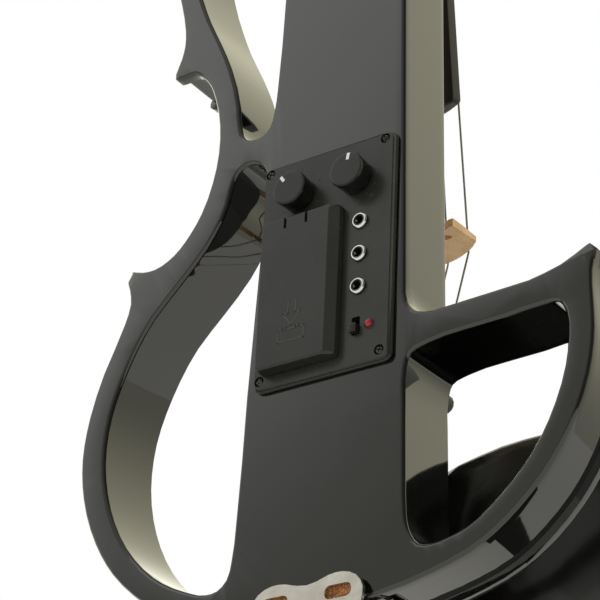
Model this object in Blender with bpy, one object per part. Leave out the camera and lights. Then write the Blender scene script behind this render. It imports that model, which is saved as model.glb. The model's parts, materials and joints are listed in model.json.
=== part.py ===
# Electric violin: a solid frame body with one open wing, set neck, strings, chinrest and preamp.
# Units are metres. +Z runs up to the scroll, the strings face -Y and the treble side is +X.
# The origin is the throat under the scroll, where a hanger's fork carries the instrument.
import math

import bmesh
import bpy
from mathutils import Matrix, Vector

# Places are given as x (treble side positive), u (height above the body's lower edge)
# and d (depth towards the strings from the plane of the body's front edges).

# Clearances
GAP = 0.0003
RUN_GAP = 0.00025

# Main lengths
BODY_LENGTH = 0.355
BODY_DEPTH = 0.0282
NECK_LENGTH = 0.134
STRING_LENGTH = 0.3245
THROAT_ABOVE_NUT = 0.0745
THROAT_DEPTH = -0.0115

# Body edges
PLATE_EDGE = 0.0040
PLATE_DRAFT = 0.00002
RIB_RECESS = 0.0025
RIB_COVE = 0.0005
EDGE_ROUND = 0.0015
FRONT_ROUND = 0.0005
CROWN_RISE = 0.0085
CROWN_SINK = 0.0004
CROWN_DEPTH = 0.0050
SPINE_TREBLE_FOOT = 0.0362
SPINE_TREBLE_TAPER = 0.0430
SPINE_BASS_FOOT = 0.0354
SPINE_BASS_TAPER = 0.0243

# Curves through drawn points: the most they may sag between steps and turn at a step
CURVE_SAG = 0.00009
CURVE_TURN = math.radians(24)

# Fingerboard and neck
BOARD_LENGTH = 0.268
BOARD_END_HEIGHT = 0.0314
BOARD_NUT_HEIGHT = 0.0069
BOARD_END_WIDTH = 0.0420
BOARD_NUT_WIDTH = 0.0240
BOARD_RADIUS = 0.0420
BOARD_SIDE = 0.0040
BOARD_SCOOP = 0.0022
NECK_BACK_AT_NUT = -0.0120
NECK_BACK_AT_HEEL = -0.0034
TENON_LENGTH = 0.020
TENON_WIDTH = 0.024
TENON_BACK = -0.0190
NUT_THICKNESS = 0.0052

# Pegbox and scroll
PEG_PLACES = (0.016, 0.029, 0.046, 0.059)
PEG_BELOW_FRONT = 0.0068
PEG_HEAD_RADIUS = 0.0040
PEG_TIP_RADIUS = 0.0029
PEG_TAPER_HALF = 0.0160
PEG_TIP_REACH = 0.0125
PEG_SHANK_END = 0.0140
PEG_COLLAR_RADIUS = 0.0047
PEG_COLLAR_LENGTH = 0.0041
PEG_STEM_RADIUS = 0.0030
PEG_STEM_LENGTH = 0.0044
PEG_THUMB_LENGTH = 0.0207
PEG_THUMB_HALF = 0.0112
PEG_THUMB_THICKNESS = 0.0036
PEGBOX_WALL = 0.0045
PEGBOX_FLOOR = 0.0045
SCROLL_RADIUS = 0.0210
SCROLL_GROWTH = 0.124
SCROLL_CENTRE_ABOVE_NUT = 0.0898
SCROLL_CENTRE_DEPTH = -0.0090
SCROLL_EYE_RADIUS = 0.0042
SCROLL_EYE_HALF_WIDTH = 0.0205
SCROLL_STEPS = 16

# Strings
STRING_RADII = (0.00040, 0.00037, 0.00034, 0.00016)
BRIDGE_SPREAD = 0.0342
NUT_SPREAD = 0.0165
TAIL_SPREAD = 0.0264
WINDING_TURNS = 3
WINDING_STEPS = 9

# Bridge
BRIDGE_TOP = 0.0426
BRIDGE_TOP_RADIUS = 0.0326
BRIDGE_LEAN = 0.0006
BRIDGE_FOOT_HALF = 0.0205
BRIDGE_FOOT_INNER = 0.0105
BRIDGE_FOOT_THICKNESS = 0.0044
BRIDGE_TOP_THICKNESS = 0.0014
HEART_HALF = 0.0030
HEART_HEIGHT = 0.0270

# Pickup and its lead
PICKUP_LOW = 0.0108
PICKUP_HEIGHT = 0.0017
PICKUP_THICKNESS = 0.0012
LEAD_RADIUS = 0.0006
LEAD_PLAY = 0.0011
LEAD_FROM_WALL = 0.0028
LEAD_BELOW_BRIDGE = 0.0205

# Tailpiece and tuners
TAIL_END = 0.0090
AFTER_LENGTH = 0.0525
TAIL_HEAD_HALF = 0.0180
TAIL_END_HALF = 0.0095
TAIL_HEAD_HEIGHT = 0.0265
TAIL_END_HEIGHT = 0.0165
TAIL_THICKNESS = 0.0044
HOOK_BELOW_HEAD = 0.0030
TUNER_BELOW_HEAD = 0.0145
TUNER_KNOB_RADIUS = 0.0042
TUNER_SHANK = 0.0013
BALL_RADIUS = 0.0012

# End button, saddle and tailgut
BUTTON_SHANK = 0.0040
BUTTON_DEPTH = 0.0190
BUTTON_NECK = 0.0052
BUTTON_COLLAR = 0.0072
SADDLE_HALF = 0.0150
SADDLE_THICKNESS = 0.0062
SADDLE_TOP = 0.0072
SADDLE_DEPTH = 0.0050
GUT_RADIUS = 0.0011
GUT_HALF = 0.0050
GUT_ABOVE_END = 0.0060

# Chinrest
REST_THICKNESS = 0.0048
REST_CLAMP_HALF = 0.0170
REST_UNDERSIDE = 0.0230
REST_CUP = 0.0160
REST_RIM_RISE = 0.0090
REST_BELOW_TUNERS = 0.0228
CORK_THICKNESS = 0.0018
BARREL_RADIUS = 0.0033
BARREL_LENGTH = 0.0190
ROD_RADIUS = 0.0016
CLAMP_OUTSIDE = -0.0062
FOOT_THICKNESS = 0.0014
WINDOW_PLACE = 0.0125
WINDOW_HALF = 0.0052
WINDOW_LOW = 0.0018
WINDOW_HIGH = 0.0066

# Preamp panel
PANEL_CENTRE_X = -0.0007
PANEL_BELOW_BRIDGE = 0.0335
PANEL_WIDTH = 0.0566
PANEL_HEIGHT = 0.0910
PANEL_FLANGE = 0.0012
PANEL_THICKNESS = 0.0028
PANEL_STEP = 0.0004
PANEL_CORNER = 0.0030
SCREWS_ABOVE_CENTRE = 0.0006
SCREW_SPACING_X = 0.0496
SCREW_SPACING_U = 0.0843
SCREW_HEAD_RADIUS = 0.0017
SCREW_HEAD_HEIGHT = 0.0009
SCREW_SHANK_RADIUS = 0.0011
SCREW_LENGTH = 0.0095
KNOB_PLACES = (0.0110, -0.0134)
KNOBS_ABOVE_CENTRE = 0.0295
KNOB_RADIUS = 0.0066
KNOB_TOP_RADIUS = 0.0070
KNOB_HEIGHT = 0.0071
SPINDLE_RADIUS = 0.0014
SPINDLE_LENGTH = 0.0080
POT_RADIUS = 0.0072
POT_DEPTH = 0.0095
POT_HEIGHT = 0.0090
BUSH_RADIUS = 0.0031
BUSH_HEIGHT = 0.0034
JACK_X = -0.0156
JACKS_BELOW_KNOBS = 0.0182
JACK_PITCH = 0.01305
JACK_RING_RADIUS = 0.0031
JACK_RING_HEIGHT = 0.0014
JACK_BORE_RADIUS = 0.0018
JACK_BARREL_RADIUS = 0.0038
JACK_THREAD_RADIUS = 0.0028
SWITCH_X = -0.0150
SWITCH_BELOW_JACKS = 0.0152
SWITCH_SLOT_WIDTH = 0.0034
SWITCH_SLOT_LENGTH = 0.0070
SWITCH_CASE_HALF = 0.0028
SWITCH_CASE_HALF_LENGTH = 0.0056
SLIDER_LENGTH = 0.0034
LED_BESIDE_SWITCH = 0.0056
LED_BELOW_SWITCH = 0.0005
LED_RADIUS = 0.0016
LED_DOME = 0.0015
COVER_INSET = 0.0039
COVER_BELOW_KNOBS = 0.0101
COVER_HEIGHT = 0.0049
COVER_SIDE = 0.0026
COVER_WALL = 0.0013
COVER_BEVEL = 0.0029
BATTERY_WIDTH = 0.0262
BATTERY_LENGTH = 0.0460
BATTERY_THICKNESS = 0.0168
BATTERY_PLAY = 0.0006
CLIP_LENGTH = 0.0053
CLIP_HALF = 0.0120
TUB_WALL = 0.0012
BAY_LOW_MARGIN = 0.0036
BAY_HIGH_MARGIN = 0.0040
BAY_SIDE_MARGIN = 0.0025
CAVITY_DEPTH = 0.0225
CAVITY_CORNER = 0.0020
CAVITY_PLAY = 0.0005
CAVITY_ABOVE_POTS = 0.0037
CIRCUIT_DEPTH = 0.0125
CIRCUIT_THICKNESS = 0.0016
CIRCUIT_GAP = 0.0005
CIRCUIT_BELOW_SWITCH = 0.0065
CIRCUIT_ABOVE_JACKS = 0.0077

# Values worked out from the sizes above
NUT_U = BODY_LENGTH + NECK_LENGTH
BRIDGE_U = NUT_U - STRING_LENGTH
BOARD_END_U = NUT_U - BOARD_LENGTH
HANGER_U = NUT_U + THROAT_ABOVE_NUT
BACK = -BODY_DEPTH
TAIL_HEAD = BRIDGE_U - AFTER_LENGTH
HOOK_U = TAIL_HEAD - HOOK_BELOW_HEAD
TUNER_U = TAIL_HEAD - TUNER_BELOW_HEAD
PANEL_FACE = BACK - PANEL_THICKNESS
PANEL_CENTRE_U = BRIDGE_U - PANEL_BELOW_BRIDGE
SCREW_CENTRE_U = PANEL_CENTRE_U + SCREWS_ABOVE_CENTRE
KNOB_U = PANEL_CENTRE_U + KNOBS_ABOVE_CENTRE
JACK_TOP_U = KNOB_U - JACKS_BELOW_KNOBS
SWITCH_U = JACK_TOP_U - 2 * JACK_PITCH - SWITCH_BELOW_JACKS
LED_X = SWITCH_X - LED_BESIDE_SWITCH
LED_U = SWITCH_U - LED_BELOW_SWITCH
BAY_WIDTH = BATTERY_WIDTH + 2 * BATTERY_PLAY
BAY_LENGTH = BATTERY_LENGTH + CLIP_LENGTH + 3 * GAP
CIRCUIT_SEAT = CIRCUIT_DEPTH - CIRCUIT_GAP
COVER_TREBLE = PANEL_CENTRE_X + PANEL_WIDTH / 2 - COVER_INSET
COVER_BASS = COVER_TREBLE - BAY_WIDTH - 2 * BAY_SIDE_MARGIN
COVER_HIGH = KNOB_U - COVER_BELOW_KNOBS
COVER_LOW = COVER_HIGH - BAY_LENGTH - BAY_LOW_MARGIN - BAY_HIGH_MARGIN
STRING_NAMES = ("g", "d", "a", "e")

# Body outline as (x, u), stretched along u to the body's length: the treble side from the lower
# edge up to the neck
LOWER_TREBLE = [
    (0.0, 0.0), (0.0243, 0.0018), (0.0455, 0.0057), (0.0648, 0.0125), (0.0772, 0.0213),
    (0.0868, 0.0305), (0.0959, 0.0436), (0.1036, 0.0628), (0.1059, 0.0790), (0.1042, 0.0956),
    (0.0993, 0.1126), (0.0915, 0.1309), (0.0894, 0.1390), (0.0904, 0.1452), (0.0920, 0.1500),
]
WAIST = [
    (0.0899, 0.1538), (0.0842, 0.1519), (0.0785, 0.1516), (0.0703, 0.1550), (0.0636, 0.1618),
    (0.0590, 0.1690), (0.0547, 0.1812), (0.0528, 0.1932), (0.0531, 0.2055), (0.0560, 0.2190),
    (0.0605, 0.2286), (0.0664, 0.2336), (0.0722, 0.2333), (0.0750, 0.2336), (0.0766, 0.2351),
]
UPPER_TREBLE = [
    (0.0767, 0.2368), (0.0742, 0.2434), (0.0731, 0.2490), (0.0734, 0.2560), (0.0762, 0.2690),
    (0.0803, 0.2840), (0.0832, 0.2990), (0.0822, 0.3140), (0.0765, 0.3275), (0.0665, 0.3385),
    (0.0520, 0.3468), (0.0350, 0.3520), (0.0150, 0.3550),
]
DRAWN_LENGTH = UPPER_TREBLE[-1][1]
# The bass side runs down the bare spine, along the arm's upper edge and round the lower bout
BASS_SHOULDER = [(-0.0150, 0.3550), (-0.0215, 0.3520), (-0.0258, 0.3440), (-0.0269, 0.3340)]
BASS_CROOK = [(-0.0326, 0.1150), (-0.0335, 0.1073), (-0.0373, 0.1028), (-0.0440, 0.1013)]
BASS_HORN = [(-0.0810, 0.1027), (-0.0930, 0.1053), (-0.1035, 0.1103)]
LOWER_BASS = [
    (-0.1062, 0.1076), (-0.1046, 0.1000), (-0.1048, 0.0900), (-0.1052, 0.0790),
    (-0.1030, 0.0628), (-0.0955, 0.0438), (-0.0867, 0.0307), (-0.0772, 0.0213),
    (-0.0648, 0.0125), (-0.0455, 0.0057), (-0.0243, 0.0018), (0.0, 0.0),
]

# Openings
TREBLE_LOWER = [
    (0.0342, 0.0378), (0.0352, 0.0252), (0.0368, 0.0190), (0.0402, 0.0161), (0.0445, 0.0155),
    (0.0548, 0.0187), (0.0686, 0.0265), (0.0817, 0.0401), (0.0905, 0.0570), (0.0946, 0.0756),
    (0.0936, 0.0938), (0.0876, 0.1118), (0.0772, 0.1297), (0.0659, 0.1412), (0.0545, 0.1535),
    (0.0462, 0.1692), (0.0447, 0.1762), (0.0423, 0.1816), (0.0391, 0.1836), (0.0349, 0.1833),
    (0.0314, 0.1809), (0.0293, 0.1762), (0.0302, 0.1440), (0.0327, 0.0859),
]
TREBLE_UPPER = [
    (0.0255, 0.2510), (0.0268, 0.2140), (0.0278, 0.2034), (0.0292, 0.1979), (0.0321, 0.1950),
    (0.0369, 0.1948), (0.0400, 0.1963), (0.0426, 0.2032), (0.0436, 0.2111), (0.0490, 0.2305),
    (0.0545, 0.2433), (0.0609, 0.2566), (0.0655, 0.2684), (0.0708, 0.2850), (0.0733, 0.3000),
    (0.0718, 0.3130), (0.0655, 0.3250), (0.0560, 0.3335), (0.0430, 0.3400), (0.0310, 0.3425),
    (0.0244, 0.3400), (0.0226, 0.3330), (0.0235, 0.3100),
]
BASS_LOWER = [
    (-0.0345, 0.0360), (-0.0341, 0.0500), (-0.0335, 0.0700), (-0.0336, 0.0812),
    (-0.0353, 0.0868), (-0.0419, 0.0891), (-0.0558, 0.0903), (-0.0720, 0.0907),
    (-0.0860, 0.0917), (-0.0922, 0.0911), (-0.0948, 0.0864), (-0.0954, 0.0780),
    (-0.0942, 0.0676), (-0.0903, 0.0552), (-0.0818, 0.0395), (-0.0706, 0.0276),
    (-0.0580, 0.0189), (-0.0516, 0.0170), (-0.0459, 0.0160), (-0.0401, 0.0169),
    (-0.0361, 0.0229), (-0.0350, 0.0285),
]


def place(x, u, d):
    """A point of the instrument in world space."""
    return Vector((x, THROAT_DEPTH - d, u - HANGER_U))


def clear_scene():
    for item in list(bpy.data.objects):
        bpy.data.objects.remove(item, do_unlink=True)


def finish(name, colour, roughness, metallic=0.0):
    """One plain material."""
    made = bpy.data.materials.new(name)
    made.use_nodes = True
    shader = made.node_tree.nodes["Principled BSDF"]
    shader.inputs["Base Color"].default_value = (*colour, 1.0)
    shader.inputs["Roughness"].default_value = roughness
    shader.inputs["Metallic"].default_value = metallic
    return made


def add_object(name, bm, material, sharp=35.0):
    """Turns a bmesh into a named object with outward faces and smooth shading."""
    bmesh.ops.recalc_face_normals(bm, faces=bm.faces)
    mesh = bpy.data.meshes.new(name)
    bm.to_mesh(mesh)
    bm.free()
    mesh.shade_smooth()
    mesh.set_sharp_from_angle(angle=math.radians(sharp))
    item = bpy.data.objects.new(name, mesh)
    bpy.context.collection.objects.link(item)
    if material is not None:
        item.data.materials.append(material)
    return item


def boolean(item, tool, operation):
    """Adds a Boolean modifier and makes its tool a guide that is left out of the model."""
    modifier = item.modifiers.new(tool.name, "BOOLEAN")
    modifier.operation = operation
    modifier.solver = "EXACT"
    modifier.object = tool
    tool.hide_render = True
    tool.display_type = "WIRE"


def move_origin(item, point):
    """Puts an object's origin on its joint's axis without moving its shape."""
    item.data.transform(Matrix.Translation(-point))
    item.location = point


def bend(a, b, c):
    """The angle by which a route turns at the middle one of three points."""
    first = [q - p for p, q in zip(a, b)]
    second = [q - p for p, q in zip(b, c)]
    size = math.hypot(*first) * math.hypot(*second)
    if size == 0.0:
        return 0.0
    along = sum(p * q for p, q in zip(first, second)) / size
    return math.acos(max(-1.0, min(1.0, along)))


def curve_steps(before, start, end, after, sag):
    """How many steps a span needs to keep its sag and its turns small."""
    turn = (bend(before, start, end) + bend(start, end, after)) / 2
    by_sag = math.sqrt(math.dist(start, end) * turn / (8 * sag))
    return max(1, math.ceil(by_sag), math.ceil(turn / CURVE_TURN))


def flow(points, closed=False, sag=CURVE_SAG):
    """A smooth curve through the points, with steps only where it bends."""
    count = len(points)
    spans = count if closed else count - 1
    result = []
    for i in range(spans):
        if closed:
            before, start, end, after = (points[(i + k) % count] for k in (-1, 0, 1, 2))
        else:
            before = points[max(i - 1, 0)]
            start = points[i]
            end = points[i + 1]
            after = points[min(i + 2, count - 1)]
        steps = curve_steps(before, start, end, after, sag)
        for k in range(steps):
            result.append(hermite(before, start, end, after, k / steps))
    if not closed:
        result.append(tuple(points[-1]))
    return result


def hermite(before, start, end, after, t):
    """One point of a centripetal curve between start and end."""
    span = math.dist(start, end)
    ahead = max(math.dist(before, start), span * 0.05)
    behind = max(math.dist(end, after), span * 0.05)
    point = []
    for a, b, c, e in zip(before, start, end, after):
        slope_in = ((b - a) / ahead * span + (c - b) / span * ahead) / (ahead + span)
        slope_out = ((c - b) / span * behind + (e - c) / behind * span) / (behind + span)
        if before == start:
            slope_in = (c - b) / span
        if after == end:
            slope_out = (c - b) / span
        h0 = 2 * t**3 - 3 * t**2 + 1
        h1 = t**3 - 2 * t**2 + t
        h2 = -2 * t**3 + 3 * t**2
        h3 = t**3 - t**2
        point.append(h0 * b + h1 * span * slope_in + h2 * c + h3 * span * slope_out)
    return tuple(point)


def at_length(points):
    """Drawn points of the body, stretched to its length."""
    return [(x, u * BODY_LENGTH / DRAWN_LENGTH) for x, u in points]


def outer_outline():
    """The body's outer outline and, for each point, how deep the ribs stand in behind it."""
    runs = [
        (LOWER_TREBLE, 1.0), (WAIST, 1.0), (UPPER_TREBLE, 1.0), (BASS_SHOULDER, 0.0),
        (BASS_CROOK, 0.0), (BASS_HORN, 0.0), (LOWER_BASS, 1.0),
    ]
    points = []
    depth = []
    for run, share in runs:
        for point in flow(at_length(run)):
            if points and math.dist(points[-1], point) < 0.0003:
                continue
            points.append(point)
            depth.append(share)
    if math.dist(points[0], points[-1]) < 0.0003:
        points.pop()
        depth.pop()
    return points, depth


def offset_loop(points, distance):
    """A counter-clockwise loop moved inwards by a distance along its own normals."""
    moved = []
    for i, point in enumerate(points):
        before = Vector(points[i - 1])
        after = Vector(points[(i + 1) % len(points)])
        here = Vector(point)
        first = (here - before).normalized()
        second = (after - here).normalized()
        along = (first + second).normalized()
        moved.append((point[0] - along.y * distance, point[1] + along.x * distance))
    return moved


def distance_to_loop(point, loop):
    """The least distance from a point to a closed loop."""
    least = 1.0
    here = Vector(point)
    for i, start in enumerate(loop):
        a = Vector(loop[i - 1])
        b = Vector(start)
        along = b - a
        t = max(0.0, min(1.0, (here - a).dot(along) / along.length_squared))
        least = min(least, (here - a - along * t).length)
    return least


def true_inset(points, distance):
    """An inward offset that drops what folds over inside narrow corners, point for point."""
    raw = offset_loop(points, distance)
    keep = [distance_to_loop(point, points) > distance * 0.97 for point in raw]
    count = len(raw)
    result = list(raw)
    for i in range(count):
        if keep[i]:
            continue
        back = i
        while not keep[back % count]:
            back -= 1
        ahead = i
        while not keep[ahead % count]:
            ahead += 1
        share = (i - back) / (ahead - back)
        a = raw[back % count]
        b = raw[ahead % count]
        result[i] = tuple(p + (q - p) * share for p, q in zip(a, b))
    return result


def counter_clockwise(points):
    """The same loop in counter-clockwise order."""
    area = sum(a[0] * b[1] - b[0] * a[1] for a, b in zip(points, points[1:] + points[:1]))
    return points if area > 0 else points[::-1]


def add_ring(bm, points, d):
    return [bm.verts.new(place(x, u, d)) for x, u in points]


def bridge(bm, lower, upper):
    """Quads between two rings of the same number of points."""
    for i in range(len(lower)):
        bm.faces.new((lower[i - 1], lower[i], upper[i], upper[i - 1]))


def ring_edges(bm, ring):
    found = []
    for i in range(len(ring)):
        edge = bm.edges.get((ring[i - 1], ring[i]))
        found.append(edge if edge is not None else bm.edges.new((ring[i - 1], ring[i])))
    return found


def stacked(bm, walls):
    """A plate from walls, each a list of (points, d) rings, capped at both ends round its holes."""
    low_edges = []
    high_edges = []
    for wall in walls:
        rings = [add_ring(bm, points, d) for points, d in wall]
        for lower, upper in zip(rings, rings[1:]):
            bridge(bm, lower, upper)
        low_edges += ring_edges(bm, rings[0])
        high_edges += ring_edges(bm, rings[-1])
    bmesh.ops.triangle_fill(bm, use_beauty=True, use_dissolve=False, edges=low_edges)
    bmesh.ops.triangle_fill(bm, use_beauty=True, use_dissolve=False, edges=high_edges)


def loft(bm, rings):
    """A closed solid through rings of points, with flat ends."""
    made = [[bm.verts.new(point) for point in ring] for ring in rings]
    for lower, upper in zip(made, made[1:]):
        bridge(bm, lower, upper)
    bm.faces.new(made[0])
    bm.faces.new(made[-1])


def turned(bm, profile, base, axis, sides=20):
    """A solid of revolution from (radius, height) points; a closed profile makes a ring."""
    axis = axis.normalized()
    across = axis.orthogonal().normalized()
    other = axis.cross(across)
    closed = profile[0] == profile[-1]
    if closed:
        profile = profile[:-1]
    rings = []
    for radius, height in profile:
        ring = []
        for k in range(sides):
            angle = 2 * math.pi * k / sides
            out = across * math.cos(angle) + other * math.sin(angle)
            ring.append(bm.verts.new(base + axis * height + out * radius))
        rings.append(ring)
    for lower, upper in zip(rings, rings[1:]):
        bridge(bm, lower, upper)
    if closed:
        bridge(bm, rings[-1], rings[0])
    else:
        bm.faces.new(rings[0])
        bm.faces.new(rings[-1])


def block(bm, low, high):
    """A box between two corners given as (x, u, d)."""
    rings = []
    for u in (low[1], high[1]):
        rings.append([
            place(low[0], u, low[2]), place(high[0], u, low[2]),
            place(high[0], u, high[2]), place(low[0], u, high[2]),
        ])
    loft(bm, rings)


def rounded_rectangle(low_x, high_x, low_u, high_u, radius, steps=4):
    """Corner points of a rectangle with round corners, counter-clockwise."""
    points = []
    centres = (
        (high_x - radius, low_u + radius, -90), (high_x - radius, high_u - radius, 0),
        (low_x + radius, high_u - radius, 90), (low_x + radius, low_u + radius, 180),
    )
    for x, u, start in centres:
        for k in range(steps + 1):
            angle = math.radians(start + 90 * k / steps)
            points.append((x + radius * math.cos(angle), u + radius * math.sin(angle)))
    return points


def circle(x, u, radius, sides=16):
    turn = 2 * math.pi / sides
    return [(x + radius * math.cos(k * turn), u + radius * math.sin(k * turn)) for k in range(sides)]


def smooth_step(value, low, high):
    t = max(0.0, min(1.0, (value - low) / (high - low)))
    return t * t * (3 - 2 * t)


def spine_edges(u):
    """The treble and bass edges of the flat top of the body's spine at a height."""
    drawn = u * DRAWN_LENGTH / BODY_LENGTH
    treble = SPINE_TREBLE_FOOT - SPINE_TREBLE_TAPER * drawn
    bass = SPINE_BASS_FOOT - SPINE_BASS_TAPER * drawn
    return treble - EDGE_ROUND, EDGE_ROUND - bass


def crown_height(x, u):
    """How far the arched front stands out at a place on the spine."""
    treble, bass = spine_edges(u)
    share = (x - (treble + bass) / 2) / ((treble - bass) / 2)
    rise = CROWN_RISE * smooth_step(u, 0.004, 0.080) * (1 - 0.35 * smooth_step(u, 0.28, BODY_LENGTH))
    return rise * (1 - share * share) - CROWN_SINK


def front_height(x, u):
    """The body's front surface, flat wood or crown, whichever stands out further."""
    return max(0.0, crown_height(x, u))


def body_walls():
    """The walls of the body's outer outline and of its three openings."""
    outline, depth = outer_outline()
    recess = true_inset(outline, RIB_RECESS)
    rib = [
        tuple(p + (q - p) * share for p, q in zip(edge, inner))
        for edge, inner, share in zip(outline, recess, depth)
    ]
    eased = true_inset(outline, EDGE_ROUND)
    drafted = offset_loop(outline, PLATE_DRAFT)
    outer = [
        (eased, BACK), (outline, BACK + EDGE_ROUND), (drafted, BACK + PLATE_EDGE),
        (rib, BACK + PLATE_EDGE + RIB_COVE), (rib, -PLATE_EDGE - RIB_COVE),
        (drafted, -PLATE_EDGE), (outline, -EDGE_ROUND), (eased, 0.0),
    ]
    walls = [outer]
    for points in (TREBLE_LOWER, TREBLE_UPPER, BASS_LOWER):
        hole = counter_clockwise(flow(at_length(points), closed=True))
        wide = offset_loop(hole, -EDGE_ROUND)
        front = offset_loop(hole, -FRONT_ROUND)
        walls.append([
            (wide, BACK), (hole, BACK + EDGE_ROUND), (hole, -FRONT_ROUND), (front, 0.0),
        ])
    return walls


def crown_tool():
    """The arched front of the spine as a loft."""
    bm = bmesh.new()
    rings = []
    stations = 20
    columns = 8
    low = 0.0085
    high = BODY_LENGTH - 0.0020
    for i in range(stations + 1):
        u = low + (high - low) * i / stations
        treble, bass = spine_edges(u)
        narrow = 0.0040 * smooth_step(u, BODY_LENGTH - 0.022, BODY_LENGTH)
        middle = (treble + bass) / 2
        half = (treble - bass) / 2 - narrow
        ring = []
        for k in range(columns + 1):
            x = middle + half * (2 * k / columns - 1)
            ring.append(place(x, u, crown_height(x, u)))
        ring.append(place(middle + half, u, -CROWN_DEPTH))
        ring.append(place(middle - half, u, -CROWN_DEPTH))
        rings.append(ring)
    loft(bm, rings)
    return add_object("crown tool", bm, None)


def cylinder_tool(name, radius, start, end, sides=16):
    bm = bmesh.new()
    turned(bm, [(radius, 0.0), (radius, (end - start).length)], start, end - start, sides)
    return add_object(name, bm, None)


def block_tool(name, low, high):
    bm = bmesh.new()
    block(bm, low, high)
    return add_object(name, bm, None)


def cavity_limits():
    """Low and high x and u of the pocket behind the panel, round what it holds."""
    _, high_x, low_u, _ = battery_bay()
    bass = LED_X - LED_RADIUS - CAVITY_PLAY
    treble = high_x + TUB_WALL + CAVITY_PLAY
    return bass, treble, low_u - TUB_WALL - CAVITY_PLAY, KNOB_U + POT_RADIUS + CAVITY_ABOVE_POTS


def cavity_tool():
    """The pocket behind the panel."""
    bm = bmesh.new()
    outline = rounded_rectangle(*cavity_limits(), CAVITY_CORNER, 3)
    stacked(bm, [[(outline, BACK - 0.001), (outline, BACK + CAVITY_DEPTH)]])
    return add_object("cavity tool", bm, None)


def screw_places():
    """The panel's screws as name and place."""
    half_x = SCREW_SPACING_X / 2
    half_u = SCREW_SPACING_U / 2
    return [
        ("upper_treble", half_x, SCREW_CENTRE_U + half_u),
        ("upper_bass", -half_x, SCREW_CENTRE_U + half_u),
        ("lower_treble", half_x, SCREW_CENTRE_U - half_u),
        ("lower_bass", -half_x, SCREW_CENTRE_U - half_u),
    ]


def make_body(lacquer):
    """Solid wood frame: one plate with openings, an arched spine and pockets."""
    bm = bmesh.new()
    stacked(bm, body_walls())
    body = add_object("body", bm, lacquer)
    boolean(body, crown_tool(), "UNION")
    boolean(body, cavity_tool(), "DIFFERENCE")
    mortise_half = TENON_WIDTH / 2 + GAP
    mortise = block_tool(
        "mortise tool",
        (-mortise_half, BODY_LENGTH - TENON_LENGTH - GAP, TENON_BACK - GAP),
        (mortise_half, BODY_LENGTH + 0.004, 0.030),
    )
    boolean(body, mortise, "DIFFERENCE")
    notch = block_tool(
        "saddle notch tool",
        (-SADDLE_HALF - GAP, -0.003, -SADDLE_DEPTH - GAP),
        (SADDLE_HALF + GAP, SADDLE_THICKNESS + GAP, 0.020),
    )
    boolean(body, notch, "DIFFERENCE")
    middle = BACK / 2
    hole = cylinder_tool(
        "button hole tool", BUTTON_SHANK + RUN_GAP,
        place(0, -0.003, middle), place(0, BUTTON_DEPTH + 0.005, middle),
    )
    boolean(body, hole, "DIFFERENCE")
    for name, x, u in screw_places():
        pilot = cylinder_tool(
            "pilot " + name, SCREW_SHANK_RADIUS + GAP,
            place(x, u, BACK - 0.001), place(x, u, BACK + SCREW_LENGTH + 0.001), 8,
        )
        boolean(body, pilot, "DIFFERENCE")
    wire_x, wire_u = wire_hole()
    drilled = cylinder_tool(
        "wire hole tool", LEAD_RADIUS + LEAD_PLAY,
        place(wire_x, wire_u, 0.012), place(wire_x, wire_u, -0.009), 10,
    )
    boolean(body, drilled, "DIFFERENCE")
    return body


def wire_hole():
    """Where the pickup's lead goes through the front."""
    return cavity_limits()[0] + LEAD_FROM_WALL, BRIDGE_U - LEAD_BELOW_BRIDGE


def board_width(u):
    share = (NUT_U - u) / BOARD_LENGTH
    return BOARD_NUT_WIDTH + (BOARD_END_WIDTH - BOARD_NUT_WIDTH) * share


def board_top(u):
    """Height of the fingerboard's middle line."""
    share = (NUT_U - u) / BOARD_LENGTH
    return BOARD_NUT_HEIGHT + (BOARD_END_HEIGHT - BOARD_NUT_HEIGHT) * share


def arc_drop(x, radius):
    return radius - math.sqrt(radius * radius - x * x)


def board_under(u):
    """Height of the fingerboard's flat underside, where it is glued to the neck."""
    return board_top(u) - arc_drop(board_width(u) / 2, BOARD_RADIUS) - BOARD_SIDE


def make_fingerboard(ebony):
    """Arched board, hollowed underneath where it runs free of the neck."""
    bm = bmesh.new()
    rings = []
    heel = BODY_LENGTH - 0.006
    stations = (
        (BOARD_END_U, 0.0012), (BOARD_END_U + 0.0012, 0.0), (BOARD_END_U + 0.030, 0.0),
        (BOARD_END_U + 0.080, 0.0), (heel - 0.006, 0.0), (heel, 0.0), (BODY_LENGTH + 0.045, 0.0),
        (NUT_U - 0.045, 0.0), (NUT_U - GAP, 0.0),
    )
    for u, ease in stations:
        half = board_width(u) / 2 - ease
        scoop = BOARD_SCOOP if u < heel - 0.001 else 0.0
        ring = []
        for k in range(9):
            x = half * (1 - k / 4)
            ring.append(place(x, u, board_top(u) - arc_drop(x, BOARD_RADIUS) - ease))
        under = board_under(u) + ease
        for k in range(5):
            share = -1 + k / 2
            lift = scoop * (1 - share * share)
            ring.append(place(share * half * 0.94, u, under + lift))
        rings.append(ring)
    loft(bm, rings)
    return add_object("fingerboard", bm, ebony)


def section(u, half, front, back, fullness, count=14):
    """A ring across the neck: flat front, round or square back."""
    ring = []
    power = 2 / fullness
    for k in range(count + 1):
        angle = math.pi * k / count
        x = half * math.copysign(abs(math.cos(angle)) ** power, math.cos(angle))
        d = front + (back - front) * abs(math.sin(angle)) ** power
        ring.append(place(x, u, d))
    return ring


def pegbox_front(v):
    """Front edge of the pegbox at a height above the nut."""
    return 0.0043 - 0.263 * v


def pegbox_back(v):
    """Back line of the pegbox at a height above the nut."""
    shallow = NECK_BACK_AT_NUT - 0.0085 * smooth_step(v, 0.000, 0.016)
    return shallow - 0.0098 * max(0.0, min(1.0, (v - 0.008) / 0.078)) ** 0.9


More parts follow.
